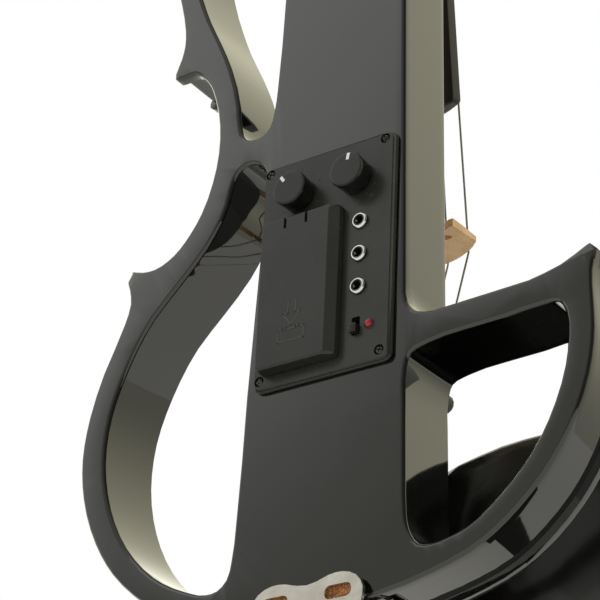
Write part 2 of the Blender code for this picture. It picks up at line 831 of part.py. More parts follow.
def neck_back(u):
    share = (u - BODY_LENGTH - 0.034) / (NECK_LENGTH - 0.034)
    return NECK_BACK_AT_HEEL + (NECK_BACK_AT_NUT - NECK_BACK_AT_HEEL) * share


def neck_rings():
    """Rings from the heel through the neck to the top of the pegbox."""
    rings = []
    heel = (
        (0.0003, 0.0150, -0.0262, 3.4), (0.0050, 0.0146, -0.0248, 3.2), (0.0105, 0.0142, -0.0195, 3.0),
        (0.0160, 0.0141, -0.0130, 2.8), (0.0220, 0.0142, -0.0080, 2.6), (0.0340, 0.0143, -0.0040, 2.5),
    )
    for above, half, back, fullness in heel:
        u = BODY_LENGTH + above
        rings.append(section(u, half, board_under(u) - GAP, back, fullness))
    for share in (0.25, 0.55, 0.85):
        u = BODY_LENGTH + 0.034 + (NECK_LENGTH - 0.034) * share
        rings.append(section(u, board_width(u) / 2 - 0.0004, board_under(u) - GAP, neck_back(u), 2.4))
    ledge = board_under(NUT_U) - GAP
    rings.append(section(NUT_U, 0.0118, ledge, pegbox_back(0.0), 2.8))
    rings.append(section(NUT_U + NUT_THICKNESS + GAP, 0.0121, ledge, pegbox_back(0.006), 4.0))
    for v in (0.0060, 0.012, 0.020, 0.034, 0.048, 0.062, 0.072, 0.080, 0.090, 0.094):
        half = 0.0122 - 0.0047 * smooth_step(v, 0.006, 0.090)
        rings.append(section(NUT_U + v, half, pegbox_front(v) + throat_lift(v), pegbox_back(v), 6.0))
    return rings


def throat_lift(v):
    """Levels the pegbox's front line where it runs in under the scroll."""
    return 0.0050 * smooth_step(v, 0.070, 0.096)


def scroll_radius(angle):
    return SCROLL_RADIUS * math.exp(-SCROLL_GROWTH * angle)


def scroll_half_width(angle):
    """Half width of the scroll along its spiral: narrow over the top, widest at the eye."""
    turns = angle / (2 * math.pi)
    if turns < 0.3:
        return 0.0075 - 0.0017 * smooth_step(turns, 0.0, 0.3)
    return 0.0058 + 0.0132 * ((turns - 0.3) / 1.7) ** 1.15


def scroll_tool():
    """The scroll: a spiral that steps outwards turn by turn to its eye, on both sides."""
    bm = bmesh.new()
    turn = SCROLL_STEPS
    last = 2 * turn
    centre_u = NUT_U + SCROLL_CENTRE_ABOVE_NUT

    def spot(angle, radius, x):
        u = centre_u + radius * math.sin(angle)
        return place(x, u, SCROLL_CENTRE_DEPTH - radius * math.cos(angle))

    def side(sign):
        edge = []
        trough = []
        for i in range(last + 1):
            angle = 2 * math.pi * i / turn
            half = scroll_half_width(angle)
            edge.append(bm.verts.new(spot(angle, scroll_radius(angle), sign * half)))
            inner = scroll_radius(angle + 2 * math.pi) if i <= turn else SCROLL_EYE_RADIUS
            trough.append(bm.verts.new(spot(angle, inner, sign * (half - 0.0009))))
        return edge, trough

    sides = [side(1), side(-1)]
    for edge, trough in sides:
        for i in range(last):
            bm.faces.new((edge[i], edge[i + 1], trough[i + 1], trough[i]))
        for i in range(turn):
            bm.faces.new((trough[i], trough[i + 1], edge[i + turn + 1], edge[i + turn]))
        close_eye(bm, edge, trough, turn, 1 if edge is sides[0][0] else -1)
    close_outer(bm, sides, turn)
    return add_object("scroll tool", bm, None)


def close_eye(bm, edge, trough, turn, sign):
    """The round boss at the middle of one side."""
    last = 2 * turn
    centre_u = NUT_U + SCROLL_CENTRE_ABOVE_NUT
    top = []
    for i in range(turn, last):
        angle = 2 * math.pi * i / turn
        u = centre_u + SCROLL_EYE_RADIUS * math.sin(angle)
        d = SCROLL_CENTRE_DEPTH - SCROLL_EYE_RADIUS * math.cos(angle)
        top.append(bm.verts.new(place(sign * SCROLL_EYE_HALF_WIDTH, u, d)))
    count = last - turn
    for i in range(count - 1):
        bm.faces.new((trough[turn + i], trough[turn + i + 1], top[i + 1], top[i]))
    bm.faces.new((trough[last - 1], trough[last], top[0], top[count - 1]))
    bm.faces.new((trough[last], edge[last], trough[turn], top[0]))
    bm.faces.new(top)


def close_outer(bm, sides, turn):
    """The outer wall between the two sides, and the flat end that the pegbox covers."""
    (edge_a, trough_a), (edge_b, trough_b) = sides
    for i in range(turn - 1):
        bm.faces.new((edge_a[i], edge_a[i + 1], edge_b[i + 1], edge_b[i]))
    bm.faces.new((
        edge_a[turn - 1], edge_a[turn], trough_a[0], trough_b[0], edge_b[turn], edge_b[turn - 1],
    ))
    bm.faces.new((edge_a[0], trough_a[0], trough_b[0], edge_b[0]))


def peg_axis(index):
    """Height above the nut and depth of one peg's axis."""
    v = PEG_PLACES[index]
    return v, pegbox_front(v) - PEG_BELOW_FRONT


def pegbox_half(v):
    return 0.0122 - 0.0047 * smooth_step(v, 0.006, 0.090)


def pegbox_cavity_tool():
    """The string box between the cheeks, open to the front."""
    bm = bmesh.new()
    rings = []
    for v in (0.0075, 0.0095, 0.022, 0.036, 0.050, 0.062, 0.0655):
        half = pegbox_half(v) - PEGBOX_WALL
        floor = pegbox_back(v) + PEGBOX_FLOOR
        if v in (0.0075, 0.0655):
            half -= 0.0015
        rings.append([
            place(-half, NUT_U + v, 0.010), place(half, NUT_U + v, 0.010),
            place(half, NUT_U + v, floor + 0.0015), place(half - 0.0015, NUT_U + v, floor),
            place(-half + 0.0015, NUT_U + v, floor), place(-half, NUT_U + v, floor + 0.0015),
        ])
    loft(bm, rings)
    return add_object("pegbox cavity tool", bm, None)


def peg_radius(out):
    """The radius of a peg's tapered shank, by the distance from the middle to its head's side."""
    share = (PEG_TAPER_HALF + out) / (2 * PEG_TAPER_HALF)
    return PEG_TIP_RADIUS + (PEG_HEAD_RADIUS - PEG_TIP_RADIUS) * max(0.0, min(1.0, share))


def peg_side(index):
    """The side a peg's head is on: bass, treble, bass, treble from the nut up."""
    return -1 if index % 2 == 0 else 1


def make_neck(lacquer):
    """Neck, heel, pegbox and scroll in one piece of wood."""
    bm = bmesh.new()
    loft(bm, neck_rings())
    neck = add_object("neck", bm, lacquer)
    tenon_half = TENON_WIDTH / 2
    bm = bmesh.new()
    low = BODY_LENGTH - TENON_LENGTH
    high = BODY_LENGTH + 0.003
    rings = []
    for u in (low, high):
        top = board_under(max(u, low)) - GAP
        rings.append([
            place(-tenon_half, u, TENON_BACK), place(tenon_half, u, TENON_BACK),
            place(tenon_half, u, top), place(-tenon_half, u, top),
        ])
    loft(bm, rings)
    boolean(neck, add_object("tenon tool", bm, None), "UNION")
    boolean(neck, scroll_tool(), "UNION")
    boolean(neck, pegbox_cavity_tool(), "DIFFERENCE")
    for i in range(4):
        v, d = peg_axis(i)
        side = peg_side(i)
        bm = bmesh.new()
        base = place(-PEG_TAPER_HALF * side, NUT_U + v, d)
        taper = [
            (PEG_TIP_RADIUS + RUN_GAP, 0.0), (PEG_HEAD_RADIUS + RUN_GAP, 2 * PEG_TAPER_HALF),
        ]
        turned(bm, taper, base, Vector((side, 0, 0)), 14)
        boolean(neck, add_object(f"peg hole {i}", bm, None), "DIFFERENCE")
    return neck


# A peg's thumb piece as shares of its length, half height and thickness
THUMB_RINGS = (
    (0.0, 0.23, 0.67), (0.10, 0.45, 1.0), (0.25, 0.80, 1.0), (0.49, 1.0, 0.83),
    (0.73, 0.95, 0.75), (0.92, 0.64, 0.72), (1.0, 0.27, 0.56),
)


def make_peg(index, ebony):
    """A tapered friction peg with a collar and a flat thumb piece."""
    v, d = peg_axis(index)
    axis = Vector((peg_side(index), 0, 0))
    centre = place(0, NUT_U + v, d)
    collar = PEG_SHANK_END
    stem = collar + PEG_COLLAR_LENGTH
    profile = [
        (PEG_TIP_RADIUS * 0.8, -PEG_TIP_REACH - 0.0010), (peg_radius(-PEG_TIP_REACH), -PEG_TIP_REACH),
        (peg_radius(PEG_SHANK_END), PEG_SHANK_END), (PEG_COLLAR_RADIUS * 0.9, collar + 0.0007),
        (PEG_COLLAR_RADIUS, collar + PEG_COLLAR_LENGTH * 0.42),
        (PEG_COLLAR_RADIUS * 0.9, collar + PEG_COLLAR_LENGTH * 0.70), (PEG_STEM_RADIUS, stem),
        (PEG_STEM_RADIUS, stem + PEG_STEM_LENGTH),
    ]
    bm = bmesh.new()
    turned(bm, profile, centre, axis, 12)
    peg = add_object("peg_" + peg_name(index), bm, ebony)
    thumb = bmesh.new()
    rings = []
    sides = 12
    start = stem + PEG_STEM_LENGTH - 0.0012
    for along, height, thickness in THUMB_RINGS:
        ring = []
        for k in range(sides):
            angle = 2 * math.pi * k / sides
            across = PEG_THUMB_THICKNESS * thickness * math.sin(angle)
            up = PEG_THUMB_HALF * height * math.cos(angle)
            ring.append(centre + axis * (start + PEG_THUMB_LENGTH * along) + Vector((0, across, up)))
        rings.append(ring)
    loft(thumb, rings)
    boolean(peg, add_object("thumb tool " + str(index), thumb, None), "UNION")
    move_origin(peg, centre)
    return peg


def peg_name(index):
    """From the nut up the pegs carry G, E, D and A."""
    return ("g", "e", "d", "a")[index]


def make_nut(ebony):
    """The nut: a small arched block that spaces the strings."""
    bm = bmesh.new()
    rings = []
    ledge = board_under(NUT_U)
    for u, drop in ((NUT_U, 0.0), (NUT_U + 0.0026, 0.0), (NUT_U + NUT_THICKNESS, 0.0016)):
        ring = []
        for k in range(9):
            x = 0.0116 * (1 - k / 4)
            top = nut_height(x) - 0.0006 - drop
            ring.append(place(x, u, top))
        ring.append(place(-0.0116, u, ledge))
        ring.append(place(0.0116, u, ledge))
        rings.append(ring)
    loft(bm, rings)
    return add_object("nut", bm, ebony)


def nut_height(x):
    """Height of a string's centre at the nut."""
    return BOARD_NUT_HEIGHT + 0.0008 - arc_drop(x, BOARD_RADIUS)


def bridge_height(x):
    """The bridge's top line, a little lower under the treble strings."""
    return BRIDGE_TOP - arc_drop(x, BRIDGE_TOP_RADIUS) - BRIDGE_LEAN * x / (BRIDGE_SPREAD / 2)


def string_x(index, spread):
    """Sideways place of a string: G on the bass side, E on the treble side."""
    return -spread / 2 + spread * index / 3


def tail_height(u):
    """Height of the tailpiece's middle line."""
    share = (u - TAIL_END) / (TAIL_HEAD - TAIL_END)
    return TAIL_END_HEIGHT + (TAIL_HEAD_HEIGHT - TAIL_END_HEIGHT) * share


def tail_half(u):
    share = (u - TAIL_END) / (TAIL_HEAD - TAIL_END)
    return TAIL_END_HALF + (TAIL_HEAD_HALF - TAIL_END_HALF) * share**0.8


def tail_surface(x, u):
    """Height of the tailpiece's arched top."""
    return tail_height(u) - 0.0034 * (x / tail_half(u)) ** 2


def hook_height(index):
    """Height at which the fine tuner's hook holds its string."""
    return tail_surface(string_x(index, TAIL_SPREAD), HOOK_U) + 0.0022


def tube(name, points, radius, material, resolution=2):
    """A round wire through points, with closed ends."""
    curve = bpy.data.curves.new(name, "CURVE")
    curve.dimensions = "3D"
    curve.bevel_depth = radius
    curve.bevel_resolution = resolution
    curve.use_fill_caps = True
    spline = curve.splines.new("POLY")
    spline.points.add(len(points) - 1)
    for item, point in zip(spline.points, points):
        item.co = (*point, 1.0)
    made = bpy.data.objects.new(name, curve)
    bpy.context.collection.objects.link(made)
    curve.materials.append(material)
    return made


def peg_of_string(index):
    """The peg that a string winds on."""
    return (0, 2, 3, 1)[index]


def winding(index, radius):
    """Turns of a string round its peg, ending where the string leaves for the nut."""
    peg = peg_of_string(index)
    v, d = peg_axis(peg)
    side = peg_side(peg)
    pitch = 2 * radius + 0.0005
    leave_x = side * (pegbox_half(v) - PEGBOX_WALL - 0.0018)
    points = []
    total = WINDING_TURNS * WINDING_STEPS
    for k in range(total + 1):
        angle = 2 * math.pi * (total - k) / WINDING_STEPS
        x = leave_x - side * pitch * (total - k) / WINDING_STEPS
        around = peg_radius(side * x) + radius + GAP
        u = NUT_U + v - around * math.sin(angle)
        points.append(place(x, u, d + around * math.cos(angle)))
    return points


def least_turn_gap(points, radius):
    """The least gap of a wound string to itself, measured on points a third of a mm apart."""
    line = [(0.0, Vector(points[0]))]
    for start, end in zip(points, points[1:]):
        length = math.dist(start, end)
        steps = max(1, round(length / GAP))
        for k in range(1, steps + 1):
            here = Vector(start).lerp(Vector(end), k / steps)
            line.append((line[-1][0] + length / steps, here))
    apart = math.pi * PEG_HEAD_RADIUS
    least = min(
        (here - there).length
        for i, (along, here) in enumerate(line)
        for far, there in line[i + 1:] if far - along > apart
    )
    return least - 2 * radius


def make_string(index, steel):
    """A string from its turns round the peg over nut and bridge to the fine tuner."""
    radius = STRING_RADII[index]
    points = winding(index, radius)
    nut_x = string_x(index, NUT_SPREAD)
    bridge_x = string_x(index, BRIDGE_SPREAD)
    tail_x = string_x(index, TAIL_SPREAD)
    points.append(place(nut_x, NUT_U + NUT_THICKNESS * 0.75, nut_height(nut_x) + radius - 0.0004))
    gap = least_turn_gap(points, radius)
    print(f"string {STRING_NAMES[index]}: least gap between its turns {gap * 1000:.2f} mm")
    points.append(place(nut_x, NUT_U + 0.0005, nut_height(nut_x) + radius))
    top = bridge_height(bridge_x) + radius + 0.00005
    for share in (0.33, 0.66):
        x = nut_x + (bridge_x - nut_x) * share
        d = nut_height(nut_x) + radius + (top - nut_height(nut_x) - radius) * share
        points.append(place(x, NUT_U - STRING_LENGTH * share, d))
    points.append(place(bridge_x, BRIDGE_U + 0.0010, top))
    points.append(place(bridge_x, BRIDGE_U - 0.0010, top))
    points.append(place(tail_x, HOOK_U + 0.0005, hook_height(index)))
    return tube("string_" + STRING_NAMES[index], points, radius, steel, 1)


# Half of the bridge as (x, d): the arch between its feet, the leg, the kidney cut and the ear
BRIDGE_ARCH = [(0.0, 0.0165), (0.0042, 0.0154), (0.0078, 0.0126), (0.0100, 0.0095)]
BRIDGE_LEG = [(0.0208, 0.0060), (0.0190, 0.0082), (0.0184, 0.0110), (0.0192, 0.0137), (0.0204, 0.0150)]
BRIDGE_KIDNEY = [
    (0.0196, 0.0161), (0.0158, 0.0158), (0.0118, 0.0161), (0.0088, 0.0178), (0.0078, 0.0205),
    (0.0089, 0.0234), (0.0120, 0.0251), (0.0154, 0.0257), (0.0179, 0.0253), (0.0185, 0.0241),
    (0.0174, 0.0230), (0.0163, 0.0215), (0.0170, 0.0198), (0.0190, 0.0191), (0.0209, 0.0179),
]
BRIDGE_EAR = [(0.0231, 0.0177), (0.0236, 0.0230), (0.0239, 0.0285)]
BRIDGE_CREST = (0.0241, 0.0208, 0.0175, 0.0130, 0.0085, 0.0045)


def foot_seat(x):
    """Height of the bridge foot's underside over the arched front."""
    return front_height(x, BRIDGE_U) + GAP


def bridge_side(sign):
    """One half of the bridge's outline, from the middle of the arch up to the crest."""
    foot = [(x, foot_seat(sign * x)) for x in (BRIDGE_FOOT_INNER, BRIDGE_FOOT_HALF)]
    edge = flow(BRIDGE_ARCH) + foot + flow(BRIDGE_LEG) + flow(BRIDGE_KIDNEY) + BRIDGE_EAR
    crest = [(x, bridge_height(sign * x)) for x in BRIDGE_CREST]
    return [(sign * x, d) for x, d in edge + crest]


def bridge_heart():
    """The heart cut in the middle of the bridge."""
    points = []
    for k in range(14):
        t = 2 * math.pi * k / 14
        rise = 13 * math.cos(t) - 5 * math.cos(2 * t) - 2 * math.cos(3 * t) - math.cos(4 * t)
        points.append((HEART_HALF * math.sin(t) ** 3, HEART_HEIGHT + HEART_HALF * rise / 16))
    return points


def bridge_thickness(d):
    """The bridge's thickness, which tapers from its feet to its crest."""
    share = (d - 0.006) / (BRIDGE_TOP - 0.006)
    return BRIDGE_FOOT_THICKNESS + (BRIDGE_TOP_THICKNESS - BRIDGE_FOOT_THICKNESS) * share


def make_bridge(maple):
    """Maple bridge: two feet, legs, kidney cuts with ears, a heart and an arched crest."""
    loop = bridge_side(1) + [(0.0, BRIDGE_TOP)] + bridge_side(-1)[:0:-1]
    bm = bmesh.new()
    edges = {-1: [], 1: []}
    for points in (loop, bridge_heart()):
        rings = []
        for sign in edges:
            ring = []
            for x, d in points:
                ring.append(bm.verts.new(place(x, BRIDGE_U + sign * bridge_thickness(d) / 2, d)))
            edges[sign] += ring_edges(bm, ring)
            rings.append(ring)
        bridge(bm, *rings)
    for found in edges.values():
        bmesh.ops.triangle_fill(bm, use_beauty=True, use_dissolve=False, edges=found)
    return add_object("bridge", bm, maple)


def pickup_face():
    """Height of the bridge's tail side, where the pickup is glued on."""
    return BRIDGE_U - bridge_thickness(PICKUP_LOW) / 2 - GAP


def make_pickup(material):
    """A thin piezo element glued to the bridge's face beside its bass foot."""
    bm = bmesh.new()
    face = pickup_face()
    block(
        bm, (-0.0165, face - PICKUP_THICKNESS, PICKUP_LOW), (-0.0102, face, PICKUP_LOW + PICKUP_HEIGHT),
    )
    return add_object("pickup_element", bm, material)


def make_pickup_wire(material):
    """The pickup's lead: from the element down and through the front to the circuit board."""
    x, u = wire_hole()
    face = pickup_face()
    start = PICKUP_LOW + PICKUP_HEIGHT / 2
    route = [
        (-0.0172, face - 0.0008, start), (-0.0190, face - 0.0028, start + 0.0002),
        (-0.0205, face - 0.0080, start - 0.0001), (x - 0.0004, u + 0.0045, 0.0100),
        (x, u + 0.0005, 0.0070), (x, u, 0.0020), (x, u, -0.0060), (x + 0.0010, u - 0.0005, -0.0088),
    ]
    points = [place(*point) for point in flow(route)]
    return tube("pickup_wire", points, LEAD_RADIUS, material, 1)


def tail_stations():
    """Places of the tailpiece's sections, which keep clear of its holes and slots."""
    low = TAIL_END + GUT_ABOVE_END + 0.0040
    high = TUNER_U - 0.0055
    between = [low + (high - low) * k / 3 for k in range(4)]
    return [TAIL_END] + between + [(TUNER_U + HOOK_U) / 2 - 0.0017, TAIL_HEAD]


def make_tailpiece(plastic):
    """Moulded tailpiece with slots and threaded seats for four fine tuners."""
    bm = bmesh.new()
    rings = []
    for u in tail_stations():
        ease = 0.0010 if u in (TAIL_END, TAIL_HEAD) else 0.0
        half = tail_half(u) - ease
        ring = []
        for k in range(11):
            x = half * (1 - k / 5)
            ring.append(place(x, u, tail_surface(x, u) - ease))
        for k in range(5):
            x = half * 0.94 * (-1 + k / 2)
            ring.append(place(x, u, tail_surface(x, u) - TAIL_THICKNESS + ease))
        rings.append(ring)
    loft(bm, rings)
    item = add_object("tailpiece", bm, plastic)
    for i in range(4):
        x = string_x(i, TAIL_SPREAD)
        slot = block_tool(
            f"hook slot {i}", (x - 0.0016, HOOK_U - 0.0050, 0.0),
            (x + 0.0016, HOOK_U + 0.0012, 0.06),
        )
        boolean(item, slot, "DIFFERENCE")
        hole = cylinder_tool(
            f"tuner hole {i}", TUNER_SHANK + RUN_GAP,
            place(x, TUNER_U, 0.0), place(x, TUNER_U, 0.06), 12,
        )
        boolean(item, hole, "DIFFERENCE")
    for side in (-1, 1):
        x = side * GUT_HALF
        u = TAIL_END + GUT_ABOVE_END
        hole = cylinder_tool(
            f"gut hole {side}", GUT_RADIUS + RUN_GAP, place(x, u, -0.01), place(x, u, 0.05), 12,
        )
        boolean(item, hole, "DIFFERENCE")
    return item


def make_tuner_screw(index, chrome):
    """A fine tuner's thumb screw: knurled head and a shank through the tailpiece."""
    x = string_x(index, TAIL_SPREAD)
    shank = TAIL_THICKNESS + 0.0022
    bm = bmesh.new()
    base = place(x, TUNER_U, tail_surface(x, TUNER_U) - shank)
    profile = [
        (0.0008, 0.0), (TUNER_SHANK, 0.0006), (TUNER_SHANK, shank + 0.0020),
        (TUNER_SHANK * 2, shank + 0.0021), (TUNER_KNOB_RADIUS, shank + 0.0030),
        (TUNER_KNOB_RADIUS, shank + 0.0072), (TUNER_KNOB_RADIUS * 0.8, shank + 0.0080),
    ]
    turned(bm, profile, base, place(0, 0, 1) - place(0, 0, 0), 14)
    item = add_object("tuner_screw_" + STRING_NAMES[index], bm, chrome)
    move_origin(item, base)
    return item


def lever_pivot(index):
    """The pin line that a fine tuner's lever turns about, under the tailpiece."""
    x = string_x(index, TAIL_SPREAD)
    u = HOOK_U - 0.0012
    return x, u, tail_surface(x, u) - TAIL_THICKNESS - 0.0016


def make_lever(index, chrome):
    """A fine tuner's lever: a long arm under the tailpiece and a forked hook through its slot."""
    x, u, d = lever_pivot(index)
    bm = bmesh.new()
    tip = TUNER_U - 0.0030
    low = tail_surface(x, tip) - TAIL_THICKNESS - 0.0045
    hook = hook_height(index)
    outline = [
        (u + 0.0016, d - 0.0010), (u + 0.0016, d + 0.0008), (HOOK_U + 0.0002, d + 0.0016),
        (HOOK_U + 0.0002, hook + 0.0012), (HOOK_U - 0.0010, hook + 0.0012),
        (HOOK_U - 0.0012, d + 0.0012), (u - 0.0036, d + 0.0002), (tip, low + 0.0010), (tip, low),
        (u - 0.0036, d - 0.0012),
    ]
    rings = []
    for side in (-1, 1):
        rings.append([place(x + side * 0.0013, a, b) for a, b in outline])
    loft(bm, rings)
    item = add_object("tuner_lever_" + STRING_NAMES[index], bm, chrome)
    slot = block_tool(
        f"fork slot {index}", (x - 0.0007, HOOK_U - 0.003, hook - 0.0009),
        (x + 0.0007, HOOK_U + 0.003, 0.06),
    )
    boolean(item, slot, "DIFFERENCE")
    move_origin(item, place(x, u, d))
    return item


def make_ball(index, brass):
    """The ball end of a string, held behind the fork of its tuner."""
    x = string_x(index, TAIL_SPREAD)
    bm = bmesh.new()
    bmesh.ops.create_uvsphere(bm, u_segments=8, v_segments=6, radius=BALL_RADIUS)
    bmesh.ops.translate(bm, verts=bm.verts, vec=place(x, HOOK_U - 0.0026, hook_height(index)))
    return add_object("ball_end_" + STRING_NAMES[index], bm, brass)


def make_end_button(ebony):
    """The end button in the body's lower edge."""
    bm = bmesh.new()
    middle = BACK / 2
    base = place(0, BUTTON_DEPTH, middle)
    profile = [
        (BUTTON_SHANK * 0.7, 0.0), (BUTTON_SHANK, 0.0030), (BUTTON_SHANK, BUTTON_DEPTH + 0.0042),
        (BUTTON_NECK, BUTTON_DEPTH + 0.0055), (BUTTON_COLLAR, BUTTON_DEPTH + 0.0080),
        (BUTTON_COLLAR, BUTTON_DEPTH + 0.0098), (BUTTON_COLLAR * 0.8, BUTTON_DEPTH + 0.0118),
        (BUTTON_COLLAR * 0.35, BUTTON_DEPTH + 0.0128),
    ]
    turned(bm, profile, base, Vector((0, 0, -1)), 16)
    return add_object("end_button", bm, ebony)


def saddle_ring(x, top):
    """The saddle's section at one place of its width."""
    return [
        place(x, SADDLE_THICKNESS, -SADDLE_DEPTH),
        place(x, SADDLE_THICKNESS, max(top - 0.0010, 0.0004)),
        place(x, SADDLE_THICKNESS - 0.0020, top), place(x, 0.0016, top),
        place(x, 0.0006, top - 0.0012), place(x, 0.0006, -SADDLE_DEPTH),
    ]


def make_saddle(ebony):
    """The ebony saddle that carries the tailgut over the body's lower edge."""
    bm = bmesh.new()
    rings = []
    for share, top in ((-1, 0.0008), (-0.7, 0.0050), (-0.53, SADDLE_TOP)):
        rings.append(saddle_ring(share * SADDLE_HALF, top))
    for share, top in ((0.53, SADDLE_TOP), (0.7, 0.0050), (1, 0.0008)):
        rings.append(saddle_ring(share * SADDLE_HALF, top))
    loft(bm, rings)
    return add_object("saddle", bm, ebony)


def make_tailgut(nylon):
    """The loop that ties the tailpiece over the saddle to the end button."""
    over = SADDLE_TOP + GUT_RADIUS + GAP
    wrap = BUTTON_NECK + GUT_RADIUS + GAP
    below = -0.0046
    middle = BACK / 2
    start_u = TAIL_END + GUT_ABOVE_END
    half = [
        (GUT_HALF, start_u, tail_surface(GUT_HALF, start_u) - TAIL_THICKNESS + 0.0016),
        (GUT_HALF, start_u - 0.0004, tail_surface(GUT_HALF, start_u) - TAIL_THICKNESS - 0.0012),
        (GUT_HALF, start_u - 0.0030, over + 0.0001), (GUT_HALF, 0.0035, over),
        (GUT_HALF, 0.0012, over),
        (GUT_HALF, -0.0022, over - 0.0022), (GUT_HALF + 0.0004, below + 0.0008, 0.0012),
        (GUT_HALF + 0.0012, below, -0.0050),
        (wrap, below, middle + 0.0010),
    ]
    arc = []
    for k in range(1, 8):
        angle = math.pi * k / 8
        arc.append((wrap * math.cos(angle), below, middle - wrap * math.sin(angle)))
    other = [(-x, u, d) for x, u, d in reversed(half)]
    points = [place(*point) for point in flow(half) + arc + flow(other)]
    return tube("tailgut", points, GUT_RADIUS, nylon, 1)


REST_OUTLINE = [
    (0.0330, 0.0030), (0.0300, 0.0150), (0.0200, 0.0230), (0.0060, 0.0330), (-0.0060, 0.0510),
    (-0.0180, 0.0665), (-0.0300, 0.0705), (-0.0480, 0.0725), (-0.0640, 0.0720), (-0.0800, 0.0665),
    (-0.0930, 0.0545), (-0.0985, 0.0410), (-0.0950, 0.0250), (-0.0830, 0.0080), (-0.0640, -0.0050),
    (-0.0420, -0.0110), (-0.0180, -0.0120), (0.0060, -0.0110), (0.0240, -0.0075),
]


def rest_stretch():
    """How far the chinrest's outline is stretched to end below the fine tuners."""
    drawn = max(u for _, u in REST_OUTLINE)
    return (TUNER_U - REST_BELOW_TUNERS) / drawn


def rest_outline():
    """The chinrest's outline: its part over the body ends below the fine tuners."""
    stretch = rest_stretch()
    points = [(x, u * stretch if u > 0 else u) for x, u in REST_OUTLINE]
    return counter_clockwise(flow(points, closed=True, sag=0.00015))


def rest_height(x, u):
    """Height of the chinrest's underside: a dished cup with a bridge over the tailpiece."""
    out = math.hypot((x + 0.050) / 0.050, (u / rest_stretch() - 0.030) / 0.043)
    cup = REST_CUP + REST_RIM_RISE * smooth_step(out, 0.25, 1.05)
    return cup + (REST_UNDERSIDE - cup) * smooth_step(x, -0.030, -0.012)


def make_chinrest(plastic):
    """Glossy cup over the bass side with feet on both sides of the tailpiece."""
    outline = rest_outline()
    centre = (-0.046, 0.030 * rest_stretch())
    bm = bmesh.new()
    shares = (0.30, 0.60, 0.82, 0.94)
    faces = []
    for top in (False, True):
        lift = REST_THICKNESS if top else 0.0
        rings = []
        for share in shares:
            ring = []
            for x, u in outline:
                px = centre[0] + (x - centre[0]) * share
                pu = centre[1] + (u - centre[1]) * share
                ring.append(bm.verts.new(place(px, pu, rest_height(px, pu) + lift)))
            rings.append(ring)
        for lower, upper in zip(rings, rings[1:]):
            bridge(bm, lower, upper)
        middle = bm.verts.new(place(*centre, rest_height(*centre) + lift))
        for i in range(len(outline)):
            bm.faces.new((rings[0][i - 1], rings[0][i], middle))
        faces.append(rings[-1])
    rim = [
        bm.verts.new(place(x, u, rest_height(x, u) + REST_THICKNESS * 0.5)) for x, u in outline
    ]
    bridge(bm, faces[0], rim)
    bridge(bm, rim, faces[1])
    item = add_object("chinrest", bm, plastic, 50.0)
    for name, x, u in rest_feet():
        seat = front_height(x, u) + CORK_THICKNESS + 2 * GAP
        foot = block_tool(
            "foot tool " + name, (x - 0.0060, u - 0.0045, seat),
            (x + 0.0060, u + 0.0045, rest_height(x, u) + REST_THICKNESS * 0.5),
        )
        boolean(item, foot, "UNION")
    return item


def rest_feet():
    """Where the chinrest stands on the body's front."""
    return [("treble", 0.0255, 0.0105), ("bass", -0.0300, 0.0105)]


def make_rest_cork(name, x, u, cork):
    """The cork under one foot of the chinrest."""
    bm = bmesh.new()
    base = front_height(x, u) + GAP
    block(bm, (x - 0.0066, u - 0.0051, base), (x + 0.0066, u + 0.0051, base + CORK_THICKNESS))
    return add_object("chinrest_cork_" + name, bm, cork)


def make_bracket(steel):
    """The metal plate under the chinrest with its two threaded legs."""
    bm = bmesh.new()
    top = REST_UNDERSIDE - 2 * GAP
    plate_low = top - 0.0015
    half = REST_CLAMP_HALF + 0.0045
    low, high = CLAMP_OUTSIDE - 0.0040, CLAMP_OUTSIDE + 0.0050
    outline = rounded_rectangle(-half, half, low, high, 0.0035, 3)
    stacked(bm, [[(outline, plate_low), (outline, top)]])
    item = add_object("chinrest_bracket", bm, steel)
    for side in (-1, 1):
        start = place(side * REST_CLAMP_HALF, CLAMP_OUTSIDE, plate_low + 0.0007)
        end = place(side * REST_CLAMP_HALF, CLAMP_OUTSIDE, barrel_top() - 0.0055)
        boolean(item, cylinder_tool(f"upper rod {side}", ROD_RADIUS, start, end, 12), "UNION")
    return item


def barrel_top():
    return BACK / 2 + BARREL_LENGTH / 2


def make_barrel(name, side, steel):
    """A turnbuckle barrel that draws bracket and foot together."""
    bm = bmesh.new()
    bore = ROD_RADIUS + RUN_GAP
    base = place(side * REST_CLAMP_HALF, CLAMP_OUTSIDE, barrel_top() - BARREL_LENGTH)
    profile = [
        (bore, 0.0), (BARREL_RADIUS - 0.0005, 0.0), (BARREL_RADIUS, 0.0007),
        (BARREL_RADIUS, BARREL_LENGTH - 0.0007), (BARREL_RADIUS - 0.0005, BARREL_LENGTH),
        (bore, BARREL_LENGTH), (bore, 0.0),
    ]
    turned(bm, profile, base, place(0, 0, 1) - place(0, 0, 0), 16)
    item = add_object("clamp_barrel_" + name, bm, steel)
    middle = BACK / 2
    cross = cylinder_tool(
        "cross hole " + name, 0.0009,
        place(side * REST_CLAMP_HALF - 0.006, CLAMP_OUTSIDE, middle),
        place(side * REST_CLAMP_HALF + 0.006, CLAMP_OUTSIDE, middle), 8,
    )
    boolean(item, cross, "DIFFERENCE")
    move_origin(item, place(side * REST_CLAMP_HALF, CLAMP_OUTSIDE, middle))
    return item


FOOT_LOBES = [
    (0.0216, -0.0012), (0.0222, 0.0040), (0.0195, 0.0085), (0.0140, 0.0107), (0.0085, 0.0104),
    (0.0040, 0.0090), (0.0, 0.0084), (-0.0040, 0.0090), (-0.0085, 0.0104), (-0.0140, 0.0107),
    (-0.0195, 0.0085), (-0.0222, 0.0040), (-0.0216, -0.0012),
]


